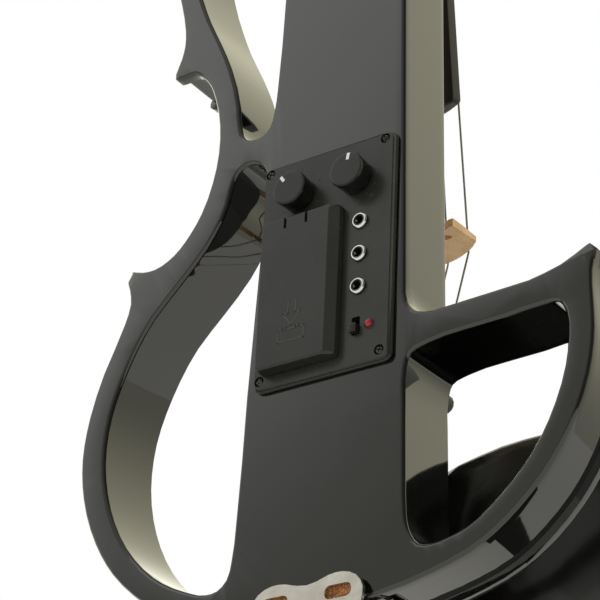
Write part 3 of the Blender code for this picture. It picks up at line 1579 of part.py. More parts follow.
def foot_back():
    """Depth of the foot plate's inner face, behind the body and its cork."""
    return BACK - CORK_THICKNESS - 2 * GAP


def make_foot(steel):
    """The clamp's foot: a two-lobed plate over the body's back edge with windows and two rods."""
    bm = bmesh.new()
    lobes = flow(FOOT_LOBES, sag=0.00012)
    low_u = CLAMP_OUTSIDE - 0.0030
    outline = counter_clockwise(lobes + [(-0.0205, low_u), (0.0205, low_u)])
    walls = [[(outline, foot_back() - FOOT_THICKNESS), (outline, foot_back())]]
    for side in (-1, 1):
        middle = side * WINDOW_PLACE
        window = rounded_rectangle(
            middle - WINDOW_HALF, middle + WINDOW_HALF, WINDOW_LOW, WINDOW_HIGH, 0.0020, 3,
        )
        walls.append([(window, foot_back() - FOOT_THICKNESS), (window, foot_back())])
    stacked(bm, walls)
    item = add_object("clamp_foot", bm, steel)
    for side in (-1, 1):
        start = place(side * REST_CLAMP_HALF, CLAMP_OUTSIDE, foot_back() - FOOT_THICKNESS / 2)
        end = place(side * REST_CLAMP_HALF, CLAMP_OUTSIDE, barrel_top() - BARREL_LENGTH + 0.0055)
        boolean(item, cylinder_tool(f"lower rod {side}", ROD_RADIUS, start, end, 12), "UNION")
    return item


def make_foot_cork(cork):
    """The cork between the clamp's foot and the body's back."""
    bm = bmesh.new()
    outline = rounded_rectangle(-0.0198, 0.0198, 0.0014, 0.0078, 0.0025, 3)
    stacked(bm, [[(outline, foot_back() + GAP), (outline, BACK - GAP)]])
    return add_object("clamp_cork", bm, cork)


def panel_rectangle(inset):
    return rounded_rectangle(
        PANEL_CENTRE_X - PANEL_WIDTH / 2 + inset, PANEL_CENTRE_X + PANEL_WIDTH / 2 - inset,
        PANEL_CENTRE_U - PANEL_HEIGHT / 2 + inset, PANEL_CENTRE_U + PANEL_HEIGHT / 2 - inset,
        PANEL_CORNER - inset,
    )


def battery_bay():
    """Low and high corners of the room for the battery, as x and u."""
    middle = (COVER_TREBLE + COVER_BASS) / 2
    half = BAY_WIDTH / 2
    return middle - half, middle + half, COVER_LOW + BAY_LOW_MARGIN, COVER_HIGH - BAY_HIGH_MARGIN


def make_panel(plastic):
    """The panel that holds the electronics, with its battery tub moulded on."""
    back = BACK - GAP
    bm = bmesh.new()
    face = PANEL_FACE
    walls = [[
        (panel_rectangle(0.0), back), (panel_rectangle(0.0), back - PANEL_FLANGE + 0.0003),
        (panel_rectangle(0.0003), back - PANEL_FLANGE),
        (panel_rectangle(PANEL_STEP), back - PANEL_FLANGE),
        (panel_rectangle(PANEL_STEP + 0.0002), face + 0.0004),
        (panel_rectangle(PANEL_STEP + 0.0006), face),
    ]]
    low_x, high_x, low_u, high_u = battery_bay()
    openings = [rounded_rectangle(low_x, high_x, low_u, high_u, 0.0010, 2)]
    for x in KNOB_PLACES:
        openings.append(circle(x, KNOB_U, BUSH_RADIUS + GAP))
    for i in range(3):
        openings.append(circle(JACK_X, JACK_TOP_U - i * JACK_PITCH, JACK_THREAD_RADIUS + RUN_GAP))
    openings.append(circle(LED_X, LED_U, LED_RADIUS + RUN_GAP, 12))
    half_w = SWITCH_SLOT_WIDTH / 2
    half_l = SWITCH_SLOT_LENGTH / 2
    openings.append(rounded_rectangle(
        SWITCH_X - half_w, SWITCH_X + half_w, SWITCH_U - half_l, SWITCH_U + half_l, 0.0003, 1,
    ))
    for _, x, u in screw_places():
        hole = circle(x, u, SCREW_SHANK_RADIUS + 0.0002 + RUN_GAP, 12)
        sink = circle(x, u, SCREW_HEAD_RADIUS + GAP, 12)
        floor = face + SCREW_HEAD_HEIGHT + GAP
        walls.append([(hole, back), (hole, floor), (sink, floor), (sink, face)])
    for opening in openings:
        walls.append([(opening, back), (opening, face)])
    stacked(bm, walls)
    item = add_object("preamp_panel", bm, plastic)
    boolean(item, tub_tool(back), "UNION")
    return item


def battery_front():
    """Depth of the battery's inner side, which lies on the floor of its tub."""
    return PANEL_FACE + 0.0006 + BATTERY_THICKNESS


def tub_tool(back):
    """The battery tub below the panel."""
    low_x, high_x, low_u, high_u = battery_bay()
    floor = battery_front() + GAP
    inner = rounded_rectangle(low_x, high_x, low_u, high_u, 0.0010, 2)
    outer = rounded_rectangle(
        low_x - TUB_WALL, high_x + TUB_WALL, low_u - TUB_WALL, high_u + TUB_WALL, 0.0022, 2,
    )
    bm = bmesh.new()
    top = back - 0.0008
    rings = [
        add_ring(bm, outer, floor + TUB_WALL), add_ring(bm, outer, top),
        add_ring(bm, inner, top), add_ring(bm, inner, floor),
    ]
    for lower, upper in zip(rings, rings[1:]):
        bridge(bm, lower, upper)
    bm.faces.new(rings[0])
    bm.faces.new(rings[-1])
    return add_object("tub tool", bm, None)


def make_cover(plastic):
    """The sliding battery cover: a hollow lid with a wide bevel and two grip slots."""
    foot = PANEL_FACE - GAP
    top = foot - COVER_HEIGHT
    low_x, high_x = COVER_BASS, COVER_TREBLE
    low_u, high_u = COVER_LOW, COVER_HIGH
    levels = (
        (foot, 0.0, 0.0, 0.0), (foot - COVER_SIDE, 0.0001, 0.0001, 0.0001),
        (top + 0.0004, COVER_BEVEL, 0.0002, 0.0003), (top, COVER_BEVEL + 0.0005, 0.0006, 0.0008),
    )
    bm = bmesh.new()
    outer = []
    for d, bass, treble, ends in levels:
        outline = rounded_rectangle(
            low_x + bass, high_x - treble, low_u + ends, high_u - ends, 0.0016, 3,
        )
        outer.append(add_ring(bm, outline, d))
    inner = []
    for d, bass in ((foot, 0.0), (top + COVER_WALL, COVER_BEVEL)):
        outline = rounded_rectangle(
            low_x + COVER_WALL + bass, high_x - COVER_WALL,
            low_u + COVER_WALL, high_u - COVER_WALL, 0.0006, 3,
        )
        inner.append(add_ring(bm, outline, d))
    for lower, upper in zip(outer, outer[1:]):
        bridge(bm, lower, upper)
    bridge(bm, outer[0], inner[0])
    bridge(bm, inner[0], inner[1])
    bm.faces.new(outer[-1])
    bm.faces.new(inner[-1])
    item = add_object("battery_cover", bm, plastic)
    for x in cover_slots():
        slot = block_tool(
            f"grip slot {x:.4f}", (x - 0.0005, high_u - 0.0050, top - 0.001),
            (x + 0.0005, high_u + 0.002, foot + 0.0010),
        )
        boolean(item, slot, "DIFFERENCE")
    return item


def cover_slots():
    """Sideways places of the two slots in the cover's upper edge."""
    return COVER_TREBLE - 0.0103, COVER_TREBLE - 0.0193


def make_battery(material):
    """The nine volt battery in its tub."""
    low_x, high_x, low_u, _ = battery_bay()
    bm = bmesh.new()
    outline = rounded_rectangle(
        low_x + BATTERY_PLAY, high_x - BATTERY_PLAY,
        low_u + GAP, low_u + GAP + BATTERY_LENGTH, 0.0020, 3,
    )
    front = battery_front()
    stacked(bm, [[(outline, front - BATTERY_THICKNESS), (outline, front)]])
    return add_object("battery", bm, material)


def make_battery_clip(material):
    """The snap connector on the battery's terminals."""
    low_x, high_x, low_u, high_u = battery_bay()
    middle = (low_x + high_x) / 2
    start = low_u + GAP + BATTERY_LENGTH + GAP
    front = battery_front()
    bm = bmesh.new()
    block(
        bm, (middle - CLIP_HALF, start, front - BATTERY_THICKNESS + 0.0020),
        (middle + CLIP_HALF, start + CLIP_LENGTH, front - 0.0020),
    )
    return add_object("battery_clip", bm, material)


def make_board(material):
    """The circuit board that carries jacks, switch and lamp."""
    bm = bmesh.new()
    depth = BACK + CIRCUIT_DEPTH
    outline = rounded_rectangle(
        cavity_limits()[0] + CAVITY_PLAY, battery_bay()[0] - TUB_WALL - 2 * CAVITY_PLAY,
        SWITCH_U - CIRCUIT_BELOW_SWITCH, JACK_TOP_U + CIRCUIT_ABOVE_JACKS, 0.0010, 2,
    )
    stacked(bm, [[(outline, depth), (outline, depth + CIRCUIT_THICKNESS)]])
    return add_object("circuit_board", bm, material)


def make_pot(name, x, metal):
    """A potentiometer under the panel with its threaded bush."""
    bm = bmesh.new()
    base = place(x, KNOB_U, BACK + POT_DEPTH)
    bore = SPINDLE_RADIUS + RUN_GAP
    top = POT_HEIGHT + BUSH_HEIGHT
    profile = [
        (POT_RADIUS - 0.0004, 0.0), (POT_RADIUS, 0.0006), (POT_RADIUS, POT_HEIGHT - 0.0005),
        (POT_RADIUS - 0.0006, POT_HEIGHT), (BUSH_RADIUS, POT_HEIGHT), (BUSH_RADIUS, top),
        (bore, top), (bore, 0.0), (POT_RADIUS - 0.0004, 0.0),
    ]
    turned(bm, profile, base, place(0, 0, -1) - place(0, 0, 0), 16)
    return add_object("potentiometer_" + name, bm, metal)


def make_knob(name, x, plastic):
    """A control knob, slightly wider at its top, with the spindle that it turns."""
    foot = PANEL_FACE - 0.0006
    base = place(x, KNOB_U, foot)
    out = place(0, 0, -1) - place(0, 0, 0)
    bm = bmesh.new()
    profile = [
        (SPINDLE_RADIUS, -SPINDLE_LENGTH), (SPINDLE_RADIUS, 0.0),
        (KNOB_RADIUS - 0.0003, 0.0), (KNOB_RADIUS, 0.0003),
        (KNOB_TOP_RADIUS, KNOB_HEIGHT - 0.0010), (KNOB_TOP_RADIUS - 0.0003, KNOB_HEIGHT - 0.0003),
        (KNOB_TOP_RADIUS - 0.0011, KNOB_HEIGHT),
    ]
    turned(bm, profile, base, out, 28)
    item = add_object("knob_" + name, bm, plastic)
    move_origin(item, base)
    return item


def make_jack(index, chrome):
    """A socket for a small plug: threaded ring on the face and its barrel behind."""
    u = JACK_TOP_U - index * JACK_PITCH
    bm = bmesh.new()
    base = place(JACK_X, u, BACK + CIRCUIT_SEAT)
    face = PANEL_THICKNESS + CIRCUIT_SEAT
    ring = face + JACK_RING_HEIGHT
    profile = [
        (JACK_BARREL_RADIUS, 0.0), (JACK_BARREL_RADIUS, CIRCUIT_SEAT - 0.0012),
        (JACK_THREAD_RADIUS, CIRCUIT_SEAT - 0.0011), (JACK_THREAD_RADIUS, face + GAP),
        (JACK_RING_RADIUS, face + GAP), (JACK_RING_RADIUS, ring - 0.0004),
        (JACK_RING_RADIUS - 0.0004, ring), (JACK_BORE_RADIUS + 0.0003, ring),
        (JACK_BORE_RADIUS, ring - 0.0004), (JACK_BORE_RADIUS, 0.0015), (0.0002, 0.0015),
        (0.0002, 0.0), (JACK_BARREL_RADIUS, 0.0),
    ]
    turned(bm, profile, base, place(0, 0, -1) - place(0, 0, 0), 16)
    return add_object(("jack_headphone", "jack_aux", "jack_line")[index], bm, chrome)


def make_switch(plastic, slider_plastic):
    """The power switch: a case behind the slot and the slider that stands through it."""
    bm = bmesh.new()
    case_top = BACK + 0.0006
    low_x, high_x = SWITCH_X - SWITCH_CASE_HALF, SWITCH_X + SWITCH_CASE_HALF
    low_u, high_u = SWITCH_U - SWITCH_CASE_HALF_LENGTH, SWITCH_U + SWITCH_CASE_HALF_LENGTH
    block(bm, (low_x, low_u, case_top), (high_x, high_u, BACK + CIRCUIT_SEAT))
    case = add_object("power_switch", bm, plastic)
    trench = block_tool(
        "switch trench", (low_x + 0.0011, low_u + 0.0012, case_top - 0.002),
        (high_x - 0.0011, high_u - 0.0012, case_top + 0.0030),
    )
    boolean(case, trench, "DIFFERENCE")
    bm = bmesh.new()
    low = SWITCH_U - SWITCH_SLOT_LENGTH / 2 + GAP
    block(
        bm, (SWITCH_X - 0.0014, low, PANEL_FACE - 0.0024),
        (SWITCH_X + 0.0014, low + SLIDER_LENGTH, case_top + 0.0026),
    )
    slider = add_object("switch_slider", bm, slider_plastic)
    return case, slider


def make_led(material):
    """The red lamp beside the switch."""
    bm = bmesh.new()
    base = place(LED_X, LED_U, BACK + CIRCUIT_SEAT)
    face = PANEL_THICKNESS + CIRCUIT_SEAT
    profile = [
        (LED_RADIUS, 0.0), (LED_RADIUS, face + LED_DOME * 0.27),
        (LED_RADIUS * 0.85, face + LED_DOME * 0.67), (LED_RADIUS * 0.5, face + LED_DOME * 0.93),
        (LED_RADIUS * 0.12, face + LED_DOME),
    ]
    turned(bm, profile, base, place(0, 0, -1) - place(0, 0, 0), 14)
    return add_object("power_led", bm, material)


def make_panel_screw(name, x, u, steel):
    """A cross-head screw, sunk level with the panel's face."""
    bm = bmesh.new()
    base = place(x, u, BACK + SCREW_LENGTH)
    seat = PANEL_THICKNESS + SCREW_LENGTH - SCREW_HEAD_HEIGHT
    profile = [
        (0.0003, 0.0), (SCREW_SHANK_RADIUS, 0.0015), (SCREW_SHANK_RADIUS, seat),
        (SCREW_HEAD_RADIUS, seat),
        (SCREW_HEAD_RADIUS, seat + 0.0003), (SCREW_HEAD_RADIUS * 0.72, seat + 0.0008),
        (SCREW_HEAD_RADIUS * 0.3, seat + SCREW_HEAD_HEIGHT),
    ]
    turned(bm, profile, base, place(0, 0, -1) - place(0, 0, 0), 12)
    return add_object("panel_screw_" + name, bm, steel)


def main():
    clear_scene()
    lacquer = finish("black lacquer", (0.012, 0.012, 0.013), 0.08)
    ebony = finish("ebony", (0.020, 0.017, 0.015), 0.35)
    maple = finish("maple", (0.62, 0.40, 0.20), 0.5)
    moulded = finish("moulded black", (0.018, 0.018, 0.019), 0.30)
    satin = finish("satin panel plastic", (0.035, 0.035, 0.036), 0.42)
    steel = finish("string steel", (0.62, 0.60, 0.57), 0.30, 1.0)
    chrome = finish("chrome", (0.80, 0.80, 0.80), 0.10, 1.0)
    nickel = finish("nickel", (0.78, 0.74, 0.68), 0.22, 1.0)
    brass = finish("brass", (0.70, 0.52, 0.22), 0.30, 1.0)
    cork = finish("cork", (0.42, 0.20, 0.07), 0.85)
    nylon = finish("nylon", (0.05, 0.05, 0.05), 0.45)
    red = finish("red lens", (0.60, 0.02, 0.04), 0.15)
    board = finish("circuit board green", (0.02, 0.14, 0.06), 0.50)
    lead = finish("brown lead", (0.26, 0.08, 0.04), 0.55)
    dark = finish("dark screw steel", (0.05, 0.05, 0.05), 0.35, 0.8)

    make_body(lacquer)
    make_neck(lacquer)
    make_fingerboard(ebony)
    make_nut(ebony)
    for i in range(4):
        make_peg(i, ebony)
        make_string(i, steel)
        make_tuner_screw(i, moulded)
        make_lever(i, chrome)
        make_ball(i, brass)
    make_bridge(maple)
    make_pickup(brass)
    make_pickup_wire(lead)
    make_tailpiece(moulded)
    make_tailgut(nylon)
    make_end_button(ebony)
    make_saddle(ebony)
    make_chinrest(moulded)
    for name, x, u in rest_feet():
        make_rest_cork(name, x, u, cork)
    make_bracket(nickel)
    make_foot(nickel)
    make_foot_cork(cork)
    make_barrel("treble", 1, nickel)
    make_barrel("bass", -1, nickel)
    make_panel(satin)
    make_cover(satin)
    make_battery(satin)
    make_battery_clip(moulded)
    make_board(board)
    for name, x in zip(("treble", "bass"), KNOB_PLACES):
        make_pot(name, x, nickel)
        make_knob(name, x, moulded)
    for i in range(3):
        make_jack(i, chrome)
    make_switch(moulded, moulded)
    make_led(red)
    for name, x, u in screw_places():
        make_panel_screw(name, x, u, dark)


main()
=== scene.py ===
# %% [markdown]
# # A black electric violin seen from behind
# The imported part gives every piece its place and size. This lesson dresses those pieces: it welds and
# smooths their faces, adds the small forms that a maker would add last, and gives each surface a finish
# that is drawn by nodes. Units are metres, +Z runs to the scroll, the strings face -Y and the treble
# side is +X.

import json
import math

import bmesh
import bpy
from mathutils import Matrix, Vector


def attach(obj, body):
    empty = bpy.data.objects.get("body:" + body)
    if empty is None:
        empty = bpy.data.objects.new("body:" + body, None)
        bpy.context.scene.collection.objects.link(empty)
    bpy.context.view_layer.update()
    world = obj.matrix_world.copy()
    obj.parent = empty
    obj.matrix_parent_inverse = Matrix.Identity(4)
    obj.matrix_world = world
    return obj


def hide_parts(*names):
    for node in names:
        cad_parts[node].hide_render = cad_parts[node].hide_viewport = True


bpy.context.scene.view_settings.view_transform = "Standard"
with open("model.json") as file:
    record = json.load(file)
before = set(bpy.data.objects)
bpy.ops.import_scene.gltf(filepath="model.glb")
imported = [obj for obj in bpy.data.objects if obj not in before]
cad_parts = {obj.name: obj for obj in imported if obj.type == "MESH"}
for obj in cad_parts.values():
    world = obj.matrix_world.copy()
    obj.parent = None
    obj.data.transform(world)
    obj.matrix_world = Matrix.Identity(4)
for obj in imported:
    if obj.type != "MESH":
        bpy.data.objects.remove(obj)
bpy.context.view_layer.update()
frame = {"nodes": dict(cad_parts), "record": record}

# %% [markdown]
# ## The camera
# The photograph was taken from behind, from the bass side and from below, with a long lens. A long lens
# keeps the perspective flat, so the camera stands about a metre away and sees only part of the violin.
# Its axes were solved from the panel's four screws and the outline of the body.

# %% Place the camera
CAMERA_PLACE = Vector((-0.4392, 0.6390, -0.8604))
CAMERA_RIGHT = Vector((-0.82302, -0.56635, 0.04335))
CAMERA_UP = Vector((-0.23904, 0.41459, 0.87805))
CAMERA_LENS = 149.04
SENSOR_WIDTH = 36.0


def place_camera():
    """A camera with the photograph's angle and field of view."""
    data = bpy.data.cameras.new("photo_camera")
    data.lens = CAMERA_LENS
    data.sensor_width = SENSOR_WIDTH
    data.clip_start = 0.05
    data.clip_end = 20.0
    camera = bpy.data.objects.new("photo_camera", data)
    bpy.context.collection.objects.link(camera)
    back = CAMERA_RIGHT.cross(CAMERA_UP).normalized()
    axes = Matrix((CAMERA_RIGHT, CAMERA_UP, back)).transposed()
    camera.matrix_world = Matrix.Translation(CAMERA_PLACE) @ axes.to_4x4()
    bpy.context.scene.camera = camera
    return camera


camera = place_camera()
print("camera", [round(v, 3) for v in camera.location], "lens", camera.data.lens)

# %% [markdown]
# ## Light
# Black lacquer has almost no colour of its own. What the eye sees on it is the studio. The room lights
# the violin evenly from all sides, and where the camera looks past the violin it sees plain white.
# The polish mirrors the same white room with soft shades in it: paler high up behind, where the upper
# half of the flat back mirrors it, darker beside the camera, and warm in front, where the side walls
# look.

# %% Set the world's level, its white and the soft shades in the polish
EVEN_LIGHT = (0.92, 0.92, 0.90, 1.0)
WHITE = (1.0, 1.0, 1.0, 1.0)
ROOM = (0.40, 0.405, 0.365)
BEHIND = (0.05, 0.05, 0.045)
BEHIND_HIGH = (0.60, 0.60, 0.62)
FRONT = (0.20, 0.185, 0.105)
FRONT_HIGH = (0.36, 0.33, 0.21)
FRONT_TREBLE = (0.36, 0.38, 0.42)
CAMERA_SIDE_SHADE = 0.72


def math_node(tree, operation, first, second=None):
    """A math node fed by sockets or by numbers."""
    node = tree.nodes.new("ShaderNodeMath")
    node.operation = operation
    for place, value in enumerate((first, second)):
        if value is None:
            continue
        if isinstance(value, (int, float)):
            node.inputs[place].default_value = value
        else:
            tree.links.new(value, node.inputs[place])
    return node.outputs[0]


def ramp_value(tree, value, low, high):
    """A soft step over a value's range."""
    node = tree.nodes.new("ShaderNodeMapRange")
    node.interpolation_type = "SMOOTHSTEP"
    node.inputs["From Min"].default_value = low
    node.inputs["From Max"].default_value = high
    tree.links.new(value, node.inputs["Value"])
    return node.outputs["Result"]


def mix_colours(tree, share, first, second):
    """A colour mix whose share, first and second are sockets or values."""
    node = tree.nodes.new("ShaderNodeMix")
    node.data_type = "RGBA"
    for socket, value in ((node.inputs[0], share), (node.inputs[6], first), (node.inputs[7], second)):
        if isinstance(value, (int, float, tuple)):
            socket.default_value = value
        else:
            tree.links.new(value, socket)
    return node.outputs[2]


def shades_of_room(tree):
    """The room as the polish mirrors it, as a colour for each direction."""
    place = tree.nodes.new("ShaderNodeTexCoord")
    split = tree.nodes.new("ShaderNodeSeparateXYZ")
    tree.links.new(place.outputs["Generated"], split.inputs[0])
    side, depth, height = split.outputs
    behind = ramp_value(tree, depth, 0.0, 0.4)
    slope = math_node(tree, "ADD", height, math_node(tree, "MULTIPLY", side, 0.8))
    high = math_node(tree, "MULTIPLY", behind, ramp_value(tree, slope, 0.78, 0.98))
    front = ramp_value(tree, depth, 0.05, -0.25)
    front_high = math_node(tree, "MULTIPLY", front, ramp_value(tree, height, -0.1, 0.6))
    front_treble = math_node(tree, "MULTIPLY", front, ramp_value(tree, side, 0.05, 0.55))
    total = None
    for share, colour in (
        (1.0, ROOM), (behind, BEHIND), (high, BEHIND_HIGH),
        (front, FRONT), (front_high, FRONT_HIGH), (front_treble, FRONT_TREBLE),
    ):
        field = tree.nodes.new("ShaderNodeVectorMath")
        field.operation = "MULTIPLY_ADD"
        field.inputs[0].default_value = colour
        if share == 1.0:
            field.inputs[1].default_value = (1.0, 1.0, 1.0)
        else:
            tree.links.new(share, field.inputs[1])
        if total is not None:
            tree.links.new(total, field.inputs[2])
        total = field.outputs[0]
    beside = math_node(tree, "MULTIPLY", ramp_value(tree, side, -0.25, -0.75), ramp_value(tree, depth, -0.15, 0.10))
    left = math_node(tree, "SUBTRACT", 1.0, math_node(tree, "MULTIPLY", beside, CAMERA_SIDE_SHADE))
    shaded = tree.nodes.new("ShaderNodeVectorMath")
    shaded.operation = "SCALE"
    tree.links.new(total, shaded.inputs[0])
    tree.links.new(left, shaded.inputs["Scale"])
    return shaded.outputs[0]


def make_world():
    """Even light, a white background and soft shades where the polish mirrors the room."""
    world = bpy.data.worlds.new("studio")
    bpy.context.scene.world = world
    world.use_nodes = True
    tree = world.node_tree
    tree.nodes.clear()
    path = tree.nodes.new("ShaderNodeLightPath")
    glossy = path.outputs["Is Glossy Ray"]
    even = tree.nodes.new("ShaderNodeBackground")
    even.inputs["Color"].default_value = EVEN_LIGHT
    seen = tree.nodes.new("ShaderNodeBackground")
    tree.links.new(mix_colours(tree, glossy, WHITE, shades_of_room(tree)), seen.inputs["Color"])
    direct = math_node(tree, "MAXIMUM", path.outputs["Is Camera Ray"], path.outputs["Is Transmission Ray"])
    mix = tree.nodes.new("ShaderNodeMixShader")
    out = tree.nodes.new("ShaderNodeOutputWorld")
    tree.links.new(math_node(tree, "MAXIMUM", direct, glossy), mix.inputs[0])
    tree.links.new(even.outputs[0], mix.inputs[1])
    tree.links.new(seen.outputs[0], mix.inputs[2])
    tree.links.new(mix.outputs[0], out.inputs["Surface"])


make_world()
print("world level", EVEN_LIGHT[:3], "shades", ROOM, BEHIND_HIGH, FRONT_HIGH)

# %% [markdown]
# ## The floor
# The camera looks up at the violin, so the floor lies well below it and is never in this picture. It
# still matters: it throws pale light upwards, shows in faces that look down, and carries the shadow in
# the other views. A small dark card hangs below the violin, as photographers place one to draw a dark
# shape into a polished side. Only the polish mirrors it, on the lower ribs.

# %% Lay the floor
FLOOR_HEIGHT = -1.35
FLOOR_HALF = 6.0
CARD_HALF = 0.10
CARD_PLACE = (-0.19, -0.20, -0.75)
PALE = ((0.81, 0.80, 0.74, 1.0), (0.87, 0.86, 0.80, 1.0))
DARK = ((0.006, 0.006, 0.005, 1.0), (0.012, 0.012, 0.010, 1.0))


def lay_sheet(name, half, place, colours):
    """A flat sheet of a slightly uneven colour."""
    bm = bmesh.new()
    bmesh.ops.create_grid(bm, x_segments=2, y_segments=2, size=half)
    mesh = bpy.data.meshes.new(name)
    bm.to_mesh(mesh)
    bm.free()
    sheet = bpy.data.objects.new(name, mesh)
    bpy.context.collection.objects.link(sheet)
    sheet.location = place
    paint = bpy.data.materials.new(name + "_paint")
    paint.use_nodes = True
    tree = paint.node_tree
    shader = tree.nodes["Principled BSDF"]
    noise = tree.nodes.new("ShaderNodeTexNoise")
    noise.inputs["Scale"].default_value = 1.5
    tree.links.new(mix_colours(tree, noise.outputs["Fac"], *colours), shader.inputs["Base Color"])
    shader.inputs["Roughness"].default_value = 0.85
    mesh.materials.append(paint)
    return sheet


floor = lay_sheet("floor", FLOOR_HALF, (0.0, 0.0, FLOOR_HEIGHT), PALE)
card = lay_sheet("dark_card", CARD_HALF, CARD_PLACE, DARK)
card.visible_camera = False
card.visible_diffuse = False
card.visible_shadow = False
print("floor at", floor.location.z, "card at", [round(v, 2) for v in card.location])

# %% [markdown]
# ## Shared surface effects
# Several finishes need the same few effects, so each effect is built once as a node group: streaks of
# grain, a fine moulded texture, the faint marks that hands leave on a polish, and a slow drift of
# colour. A group puts out colours and numbers only. The shader stays in each material.

# %% Helpers for node groups and materials


def new_group(name, inputs, outputs):
    """An empty shader group with its sockets, its input node and its output node."""
    group = bpy.data.node_groups.new(name, "ShaderNodeTree")
    for label, kind, value in inputs:
        socket = group.interface.new_socket(label, in_out="INPUT", socket_type=kind)
        if value is not None:
            socket.default_value = value
    for label, kind in outputs:
        group.interface.new_socket(label, in_out="OUTPUT", socket_type=kind)
    return group, group.nodes.new("NodeGroupInput"), group.nodes.new("NodeGroupOutput")


def stretched(tree, vector, scale, along=(1.0, 1.0, 1.0)):
    """The surface's own coordinates, scaled by a socket and squeezed by fixed shares."""
    grow = tree.nodes.new("ShaderNodeVectorMath")
    grow.operation = "SCALE"
    tree.links.new(vector, grow.inputs[0])
    if isinstance(scale, (int, float)):
        grow.inputs["Scale"].default_value = scale
    else:
        tree.links.new(scale, grow.inputs["Scale"])
    squeeze = tree.nodes.new("ShaderNodeVectorMath")
    squeeze.operation = "MULTIPLY"
    squeeze.inputs[1].default_value = along
    tree.links.new(grow.outputs[0], squeeze.inputs[0])
    return squeeze.outputs[0]


def noise_node(tree, vector, detail=4.0, roughness=0.55, distortion=0.0):
    """Noise at scale one over already scaled coordinates."""
    node = tree.nodes.new("ShaderNodeTexNoise")
    node.inputs["Scale"].default_value = 1.0
    node.inputs["Detail"].default_value = detail
    node.inputs["Roughness"].default_value = roughness
    node.inputs["Distortion"].default_value = distortion
    tree.links.new(vector, node.inputs["Vector"])
    return node.outputs["Fac"]


VECTOR = "NodeSocketVector"
FLOAT = "NodeSocketFloat"
COLOUR = "NodeSocketColor"

# %% Grain, moulded texture, hand marks and colour drift


def grain_group():
    """Long streaks along the surface's Z, as wood fibres and drawn metal have."""
    tree, start, end = new_group(
        "Streaked grain",
        [("Vector", VECTOR, None), ("Scale", FLOAT, 400.0)],
        [("Streak", FLOAT), ("Pore", FLOAT), ("Height", FLOAT)],
    )
    vector = start.outputs["Vector"]
    scale = start.outputs["Scale"]
    broad = noise_node(tree, stretched(tree, vector, scale, (0.22, 0.22, 0.012)), 3.0, 0.5, 0.4)
    fine = noise_node(tree, stretched(tree, vector, scale, (1.6, 1.6, 0.05)), 4.0, 0.65)
    pores = ramp_value(tree, fine, 0.56, 0.72)
    both = math_node(tree, "ADD", math_node(tree, "MULTIPLY", broad, 0.6), math_node(tree, "MULTIPLY", fine, 0.4))
    tree.links.new(ramp_value(tree, both, 0.34, 0.66), end.inputs["Streak"])
    tree.links.new(pores, end.inputs["Pore"])
    tree.links.new(math_node(tree, "SUBTRACT", both, math_node(tree, "MULTIPLY", pores, 0.5)), end.inputs["Height"])
    return tree


def moulded_group():
    """The even, very fine texture of plastic from a spark-eroded mould."""
    tree, start, end = new_group(
        "Moulded texture",
        [("Vector", VECTOR, None), ("Scale", FLOAT, 3000.0)],
        [("Mottle", FLOAT), ("Height", FLOAT)],
    )
    vector = start.outputs["Vector"]
    scale = start.outputs["Scale"]
    fine = noise_node(tree, stretched(tree, vector, scale), 2.0, 0.6)
    slow = noise_node(tree, stretched(tree, vector, scale, (0.02, 0.02, 0.02)), 3.0, 0.5)
    tree.links.new(slow, end.inputs["Mottle"])
    tree.links.new(fine, end.inputs["Height"])
    return tree


def hand_marks_group():
    """Patches where fingers have dulled a surface, and a few hair-fine wipe marks."""
    tree, start, end = new_group(
        "Hand marks",
        [("Vector", VECTOR, None), ("Scale", FLOAT, 30.0), ("Clean", FLOAT, 0.05), ("Dull", FLOAT, 0.15)],
        [("Roughness", FLOAT), ("Height", FLOAT)],
    )
    vector = start.outputs["Vector"]
    scale = start.outputs["Scale"]
    patches = ramp_value(tree, noise_node(tree, stretched(tree, vector, scale), 4.0, 0.6), 0.45, 0.75)
    wipes = noise_node(tree, stretched(tree, vector, scale, (30.0, 30.0, 0.9)), 2.0, 0.5, 1.5)
    wipes = ramp_value(tree, wipes, 0.66, 0.74)
    span = math_node(tree, "SUBTRACT", start.outputs["Dull"], start.outputs["Clean"])
    share = math_node(tree, "ADD", math_node(tree, "MULTIPLY", patches, 0.8), math_node(tree, "MULTIPLY", wipes, 0.2))
    rough = math_node(tree, "ADD", start.outputs["Clean"], math_node(tree, "MULTIPLY", span, share))
    tree.links.new(rough, end.inputs["Roughness"])
    tree.links.new(patches, end.inputs["Height"])
    return tree


def drift_group():
    """A slow change between two colours over the surface."""
    tree, start, end = new_group(
        "Colour drift",
        [("Vector", VECTOR, None), ("Scale", FLOAT, 20.0), ("First", COLOUR, None), ("Second", COLOUR, None)],
        [("Color", COLOUR)],
    )
    slow = noise_node(tree, stretched(tree, start.outputs["Vector"], start.outputs["Scale"]), 3.0, 0.5)
    share = ramp_value(tree, slow, 0.3, 0.7)
    tree.links.new(mix_colours(tree, share, start.outputs["First"], start.outputs["Second"]), end.inputs["Color"])
    return tree


GROUPS = {"grain": grain_group(), "moulded": moulded_group(), "marks": hand_marks_group(), "drift": drift_group()}
print("node groups", [group.name for group in GROUPS.values()])

# %% A blank material and its common links


